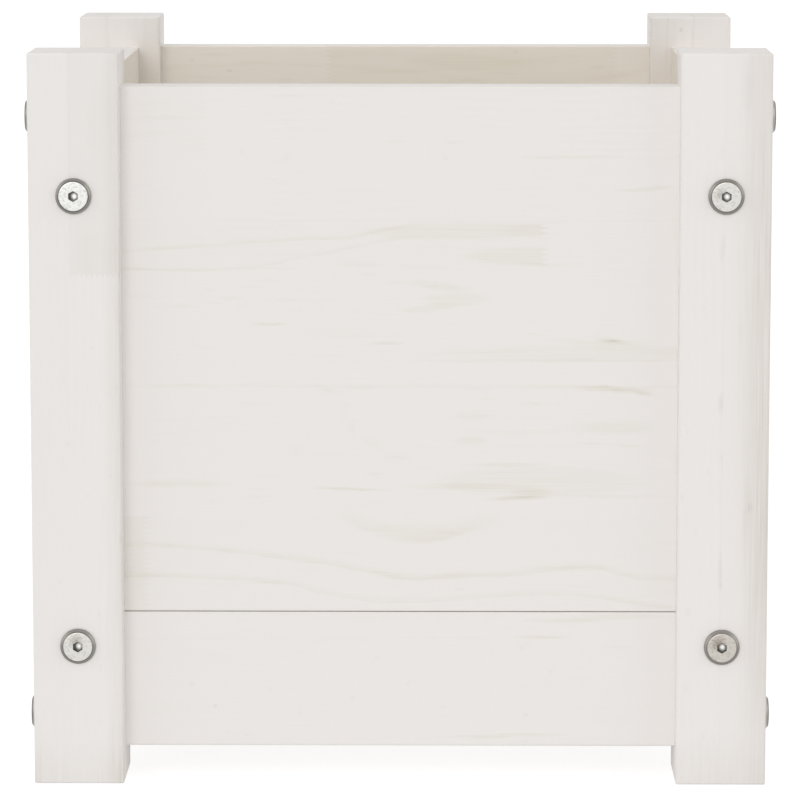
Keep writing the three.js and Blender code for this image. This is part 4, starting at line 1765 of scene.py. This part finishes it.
@dataclass
class Floor:
    """The slatted floor: its cleats, its slats and the screws that hold them."""

    wood: PaintedPine
    steel: PlatedSteel
    arris_radius: float = 1.0
    notch_gap: float = 0.5
    notch_ease: float = 0.2
    head_radius: float = 3.5
    head_ease: float = 0.1
    head_gap: float = 0.3
    cone_height: float = 2.0
    neck: float = 2.0
    shank_radius: float = 1.75
    thread_root: float = 1.25
    thread_pitch: float = 1.3
    thread_slack: float = 0.05
    thread_runout: float = 0.4
    tip_length: float = 4.0
    recess: Triple = (4.2, 1.0, 1.4)  # span and width of the cross, and its depth
    small_ease: float = 0.05
    overrun: float = 1.0
    slat_seed: int = 40
    slat_strip: float = 40.0
    slat_marks: int = 18
    cleat_seed: int = 50
    cleat_strip: float = 20.0
    cleat_marks: int = 6
    wood_slot: str = "painted_pine"
    steel_slot: str = "zinc_plated_steel"
    screws: list[str] = field(default_factory=list)

    def build(self) -> None:
        """Builds and dresses the floor."""
        self.screws = sorted(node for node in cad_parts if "_screw_" in node)
        for n, node in enumerate(("floor_slat_front", "floor_slat_middle", "floor_slat_rear")):
            self._slat(node, CHANCE.figure(self.slat_seed + n, SLAT, self.slat_strip, self.slat_marks))
        for n, node in enumerate(("cleat_left", "cleat_right")):
            self._cleat(node, CHANCE.figure(self.cleat_seed + n, CLEAT, self.cleat_strip, self.cleat_marks))
        material = self.steel.material("zinc_plated_steel_screw")
        for node in self.screws:
            self._screw(node, material)

    def _axis(self, node: str) -> Vector:
        """Finds which way a screw's head looks.

        Args:
            node: The screw's CAD node.

        Returns:
            The direction.
        """
        if node.startswith("slat_"):
            return Vector((0, 0, 1))
        return Vector((1 if "left" in node else -1, 0, 0))

    def _screw_tool(self, node: str) -> bmesh.types.BMesh:
        """Makes the tool that bores a screw's hole, countersink and all.

        Args:
            node: The screw's CAD node.

        Returns:
            The tool, in millimetres of the row frame.
        """
        box = Box.of(node)
        out = self._axis(node)
        length = abs(box.size.dot(out)) / MM
        gap = self.head_gap
        wide, narrow = self.head_radius + gap, self.shank_radius + gap
        tool = turned(
            [
                (0, -length - gap),
                (narrow, -length + self.tip_length),
                (narrow, -self.cone_height),
                (wide, 0),
                (wide, gap + self.overrun),
                (0, gap + self.overrun),
            ],
            segments=32,
        )
        head = (box.middle + out * length * MM / 2) / MM
        bmesh.ops.transform(tool, matrix=upright(head, out), verts=tool.verts)
        return tool

    def _slat(self, node: str, figure: Figure) -> None:
        """Builds and dresses one slat.

        Args:
            node: The CAD node that it stands for.
            figure: The figure of its wood.
        """
        box = Box.of(node)
        low, high = box.low / MM, box.high / MM
        word = node.rsplit("_", 1)[1]
        tools = [self._screw_tool(s) for s in self.screws if s.startswith(f"slat_screw_{word}")]
        for corner in CORNERS:
            if corner.startswith(word):
                room = Box.of(f"post_{corner}")
                gap = Vector((self.notch_gap, self.notch_gap, 0))
                notch = room.low / MM - gap, room.high / MM + gap
                tools.append(eased_block(*notch, self.notch_ease, steps=1))
        mesh = carve(eased_block(low, high, self.arris_radius), tools)
        thing = to_object(f"painted_{node}", mesh, Matrix.Scale(MM, 4))
        grain = GrainFrame.of(box, Vector((1, 0, 0)), Vector((0, 0, -1)), Vector((0, 1, 0)))
        show(thing, node, self.wood.material(f"painted_pine_{node}", grain, figure))

    def _cleat(self, node: str, figure: Figure) -> None:
        """Builds and dresses one cleat.

        Args:
            node: The CAD node that it stands for.
            figure: The figure of its wood.
        """
        box = Box.of(node)
        low, high = box.low / MM, box.high / MM
        word = node.rsplit("_", 1)[1]
        beside = tuple(f"cleat_screw_{word}_{end}" for end in ("front", "rear"))
        own = [s for s in self.screws if s in beside or s.endswith(f"_{word}")]
        mesh = carve(eased_block(low, high, self.arris_radius), [self._screw_tool(s) for s in own])
        thing = to_object(f"painted_{node}", mesh, Matrix.Scale(MM, 4))
        grain = GrainFrame.of(box, Vector((0, 1, 0)), Vector((1, 0, 0)), Vector((0, 0, -1)))
        show(thing, node, self.wood.material(f"painted_pine_{node}", grain, figure))

    def _screw(self, node: str, material: bpy.types.Material) -> None:
        """Builds and dresses one countersunk screw, whose origin is in the middle of its head.

        Args:
            node: The CAD node that it stands for.
            material: Its finish.
        """
        box = Box.of(node)
        out = self._axis(node)
        length = abs(box.size.dot(out)) / MM
        tip = -length + self.tip_length
        start = -self.cone_height - self.neck
        crest = self.shank_radius - self.thread_slack
        profile = [
            (0, 0),
            (self.head_radius - self.head_ease, 0),
            (self.head_radius, -self.head_ease),
            (self.shank_radius, -self.cone_height),
            (self.shank_radius, start),
            *threaded(crest, self.thread_root, start - self.thread_runout, tip, self.thread_pitch),
            (0, -length),
        ]
        span, wide, deep = self.recess
        body = turned(profile, segments=48)
        for one, other in ((span, wide), (wide, span)):
            half = Vector((one / 2, other / 2, deep))
            body = carve(body, [eased_block(-half, half, self.small_ease, steps=1)])
        thing = to_object(f"plated_{node}", body, Matrix.Scale(MM, 4))
        thing.matrix_world = upright(box.middle + out * length * MM / 2, out)
        show(thing, node, material)


# -------------------------------------------------------------------------------------------------
# Studio
# -------------------------------------------------------------------------------------------------


@dataclass(frozen=True)
class SoftLamp:
    """A broad, far lamp: where it stands, how wide it looks and how much it adds to a facing white."""

    name: str
    azimuth: float
    elevation: float
    width: float
    level: float


@dataclass
class Studio:
    """A white floor, an even white surround, soft lamps and the camera."""

    lamps: tuple[SoftLamp, ...] = (
        SoftLamp("key", azimuth=-13, elevation=24, width=34, level=0.235),
        SoftLamp("side", azimuth=-80, elevation=15, width=60, level=0.19),
        SoftLamp("fill", azimuth=80, elevation=16, width=60, level=0.2),
    )
    surround_level: float = 0.635
    surround_front: float = 0.06  # how much brighter the surround is in front than at the sides
    floor_side: float = 60.0  # metres
    floor_drop: float = 0.1
    floor_white: str = "a0a0a0"
    floor_glow: float = 0.42  # the floor is a light table, as bright from below as the surround
    floor_own_light: float = 0.82  # what a camera ray sees in the deepest shadow
    floor_shadow: str = "959595"
    camera_place: Triple = (16.67, -1976.5, 425.7)
    camera_pitch: float = 8.151  # degrees below the horizon
    camera_yaw: float = 0.52  # degrees to the left
    camera_lens: float = 197.5
    camera_sight: float = 100.0  # metres
    sensor: float = 36.0
    lamp_distance: float = 2.0  # metres, for show: the lamps are as far as the sun

    def build(self) -> None:
        """Builds the studio."""
        self._floor()
        self._surround()
        for lamp in self.lamps:
            self._lamp(lamp)
        self._camera()

    def _seen(self, tree: bpy.types.NodeTree) -> bpy.types.Node:
        """Tells rays that show the background from rays that only carry its light.

        Args:
            tree: The tree that the nodes go into.

        Returns:
            The node that gives 1 for camera, mirror and glass rays, and 0 for others.
        """
        path = add_node(tree, "LightPath")
        seen = path.outputs["Is Camera Ray"]
        for word in ("Is Glossy Ray", "Is Transmission Ray"):
            seen = add_node(tree, "Math", {0: seen, 1: path.outputs[word]}, operation="ADD", use_clamp=True)
        return seen

    def _floor(self) -> None:
        """Lays the floor: a white light table, pure white in the open, that keeps the shadow."""
        half = self.floor_side / 2
        mesh = bmesh.new()
        bmesh.ops.create_grid(mesh, x_segments=1, y_segments=1, size=half)
        floor = to_object("studio_floor", mesh, Matrix.Translation((0, 0, -self.floor_drop * MM)))
        material = new_material("white_opal_table")
        tree = material.node_tree
        lit = add_node(tree, "BsdfDiffuse", {"Color": linear(self.floor_white)})
        glow = add_node(tree, "Emission", {"Color": (1, 1, 1, 1), "Strength": self.floor_glow})
        carried = add_node(tree, "AddShader", {0: lit, 1: glow})
        shadowed = add_node(tree, "BsdfDiffuse", {"Color": linear(self.floor_shadow)})
        own = add_node(tree, "Emission", {"Color": (1, 1, 1, 1), "Strength": self.floor_own_light})
        shown = add_node(tree, "AddShader", {0: shadowed, 1: own})
        both = add_node(tree, "MixShader", {"Fac": self._seen(tree), 1: carried, 2: shown})
        add_node(tree, "OutputMaterial", {"Surface": both})
        floor.data.materials.append(material)

    def _surround(self) -> None:
        """Makes the surround: pure white to look at, and a softer light on the object."""
        world = bpy.data.worlds.new("white_surround")
        bpy.context.scene.world = world
        world.use_nodes = True
        tree = world.node_tree
        tree.nodes.clear()
        towards = add_node(tree, "TexCoord").outputs["Generated"]
        ahead = (0, -self.surround_front, 0)
        tilt = add_node(tree, "VectorMath", {0: towards, 1: ahead}, operation="DOT_PRODUCT")
        level = add_node(tree, "Math", {0: tilt, 1: self.surround_level}, operation="ADD")
        carried = add_node(tree, "Background", {"Color": (1, 1, 1, 1), "Strength": level})
        shown = add_node(tree, "Background", {"Color": (1, 1, 1, 1), "Strength": 1.0})
        both = add_node(tree, "MixShader", {"Fac": self._seen(tree), 1: carried, 2: shown})
        add_node(tree, "OutputWorld", {"Surface": both})

    def _lamp(self, lamp: SoftLamp) -> None:
        """Sets up one lamp.

        Args:
            lamp: What it is.
        """
        data = bpy.data.lights.new(lamp.name, "SUN")
        data.energy = math.pi * lamp.level
        data.angle = math.radians(lamp.width)
        thing = bpy.data.objects.new(lamp.name, data)
        bpy.context.scene.collection.objects.link(thing)
        azimuth, elevation = math.radians(lamp.azimuth), math.radians(lamp.elevation)
        back = Vector(
            (
                math.sin(azimuth) * math.cos(elevation),
                -math.cos(azimuth) * math.cos(elevation),
                math.sin(elevation),
            )
        )
        thing.location = back * self.lamp_distance
        thing.rotation_mode = "QUATERNION"
        thing.rotation_quaternion = back.to_track_quat("Z", "Y")

    def _camera(self) -> None:
        """Sets up the camera."""
        data = bpy.data.cameras.new("camera")
        data.sensor_width = self.sensor
        data.lens = self.camera_lens
        data.clip_end = self.camera_sight
        camera = bpy.data.objects.new("camera", data)
        bpy.context.scene.collection.objects.link(camera)
        camera.location = Vector(self.camera_place) * MM
        camera.rotation_euler = (math.radians(90 - self.camera_pitch), 0, math.radians(self.camera_yaw))
        bpy.context.scene.camera = camera


# -------------------------------------------------------------------------------------------------
# The whole planter
# -------------------------------------------------------------------------------------------------


def bolt_finishes() -> tuple[PlatedSteel, dict[str, PlatedSteel]]:
    """Gives the finish of the bolts.

    Returns:
        The finish of most bolts, and those of the four that look out of the front.
    """
    mouth = 2.15  # below the flat of the head, so that only the socket takes the painted shade and highlight
    plain = PlatedSteel(socket_level=mouth)
    # Painted reflection and shade: each front bolt's plate is set lighter or darker for what its head
    # reflects, and its rim and groove darker as painted shade.
    front = {
        "bolt_front_left_front_upper": PlatedSteel(
            plate="dfdfdc",
            smudge="a3a19c",
            smudge_share=0.7,
            rim="908d88",
            groove="605e5a",
            socket_level=mouth,
        ),
        "bolt_front_right_front_upper": PlatedSteel(
            plate="d3d1cd",
            smudge="a09b93",
            smudge_share=0.6,
            rim="918e89",
            groove="6f6c67",
            socket_level=mouth,
            stain_place=(-2.2, 1.0),
            stain_radius=3.4,
            stain_share=0.6,
        ),
        "bolt_front_left_front_lower": PlatedSteel(
            plate="d4d2cd",
            smudge="98938a",
            smudge_share=0.5,
            rim="918e89",
            groove="6f6c67",
            socket_level=mouth,
            stain_place=(-0.6, 2.4),
            stain_radius=3.6,
            stain_share=0.7,
        ),
        "bolt_front_right_front_lower": PlatedSteel(
            plate="c4c0b9",
            smudge="95897f",
            smudge_share=0.6,
            rim="918d87",
            groove="7c7872",
            socket_level=mouth,
            stain_place=(-1.4, 1.8),
            stain_radius=4.2,
            stain_share=0.9,
        ),
    }
    return plain, front


def panel_figures() -> dict[Side, Figure]:
    """Gives the figures of the panels, of which only the front one follows the photograph throughout.

    Returns:
        The figure of each side's panel.
    """
    chance = partial(CHANCE.figure, stock=PANEL, strip=52.0)
    more = chance(seed=17, marks=48)
    rear = replace(REAR_PANEL, marks=REAR_PANEL.marks + more.marks, lines=REAR_PANEL.lines + more.lines)
    return {
        Side.FRONT: FRONT_PANEL,
        Side.RIGHT: chance(seed=11, marks=56),
        Side.REAR: rear,
        Side.LEFT: chance(seed=14, marks=56),
    }


def main() -> None:
    """Builds the planter and its studio."""
    logging.basicConfig(level=logging.INFO, format="%(message)s")
    bpy.context.scene.view_settings.view_transform = "Standard"
    wood = PaintedPine()
    wood_of_posts = PaintedPine(
        veiled="ddd8d2",
        mark_strength=1.1,
        finger_length=2.4,
        fibre_share=0.01,
        # The posts' inner faces, from a little below their tops, take the painted warm shade of the box's
        # inside.
        inner_share=0.012,
        inner_tint="fffcf6",
        inner_start=(8.0, 34.0),
    )
    Posts(wood_of_posts).build()
    for side, figure in panel_figures().items():
        Panel(side, wood, figure).build()
    plain, front = bolt_finishes()
    yellow = PlatedSteel(plate="c8ad62", smudge="9a7f3c", rim="c8ad62", groove="9a7f3c")
    Bolts(plain, front, yellow).build()
    # Each screw's cross recess takes the socket's painted shade and painted highlight, and its head's edge
    # the rim's painted shade.
    screw_steel = PlatedSteel(disc_radius=3.3, rim_radius=3.5, socket_level=-0.05, socket_radius=2.2)
    Floor(wood, screw_steel).build()
    Studio().build()


if __name__ == "__main__":
    main()
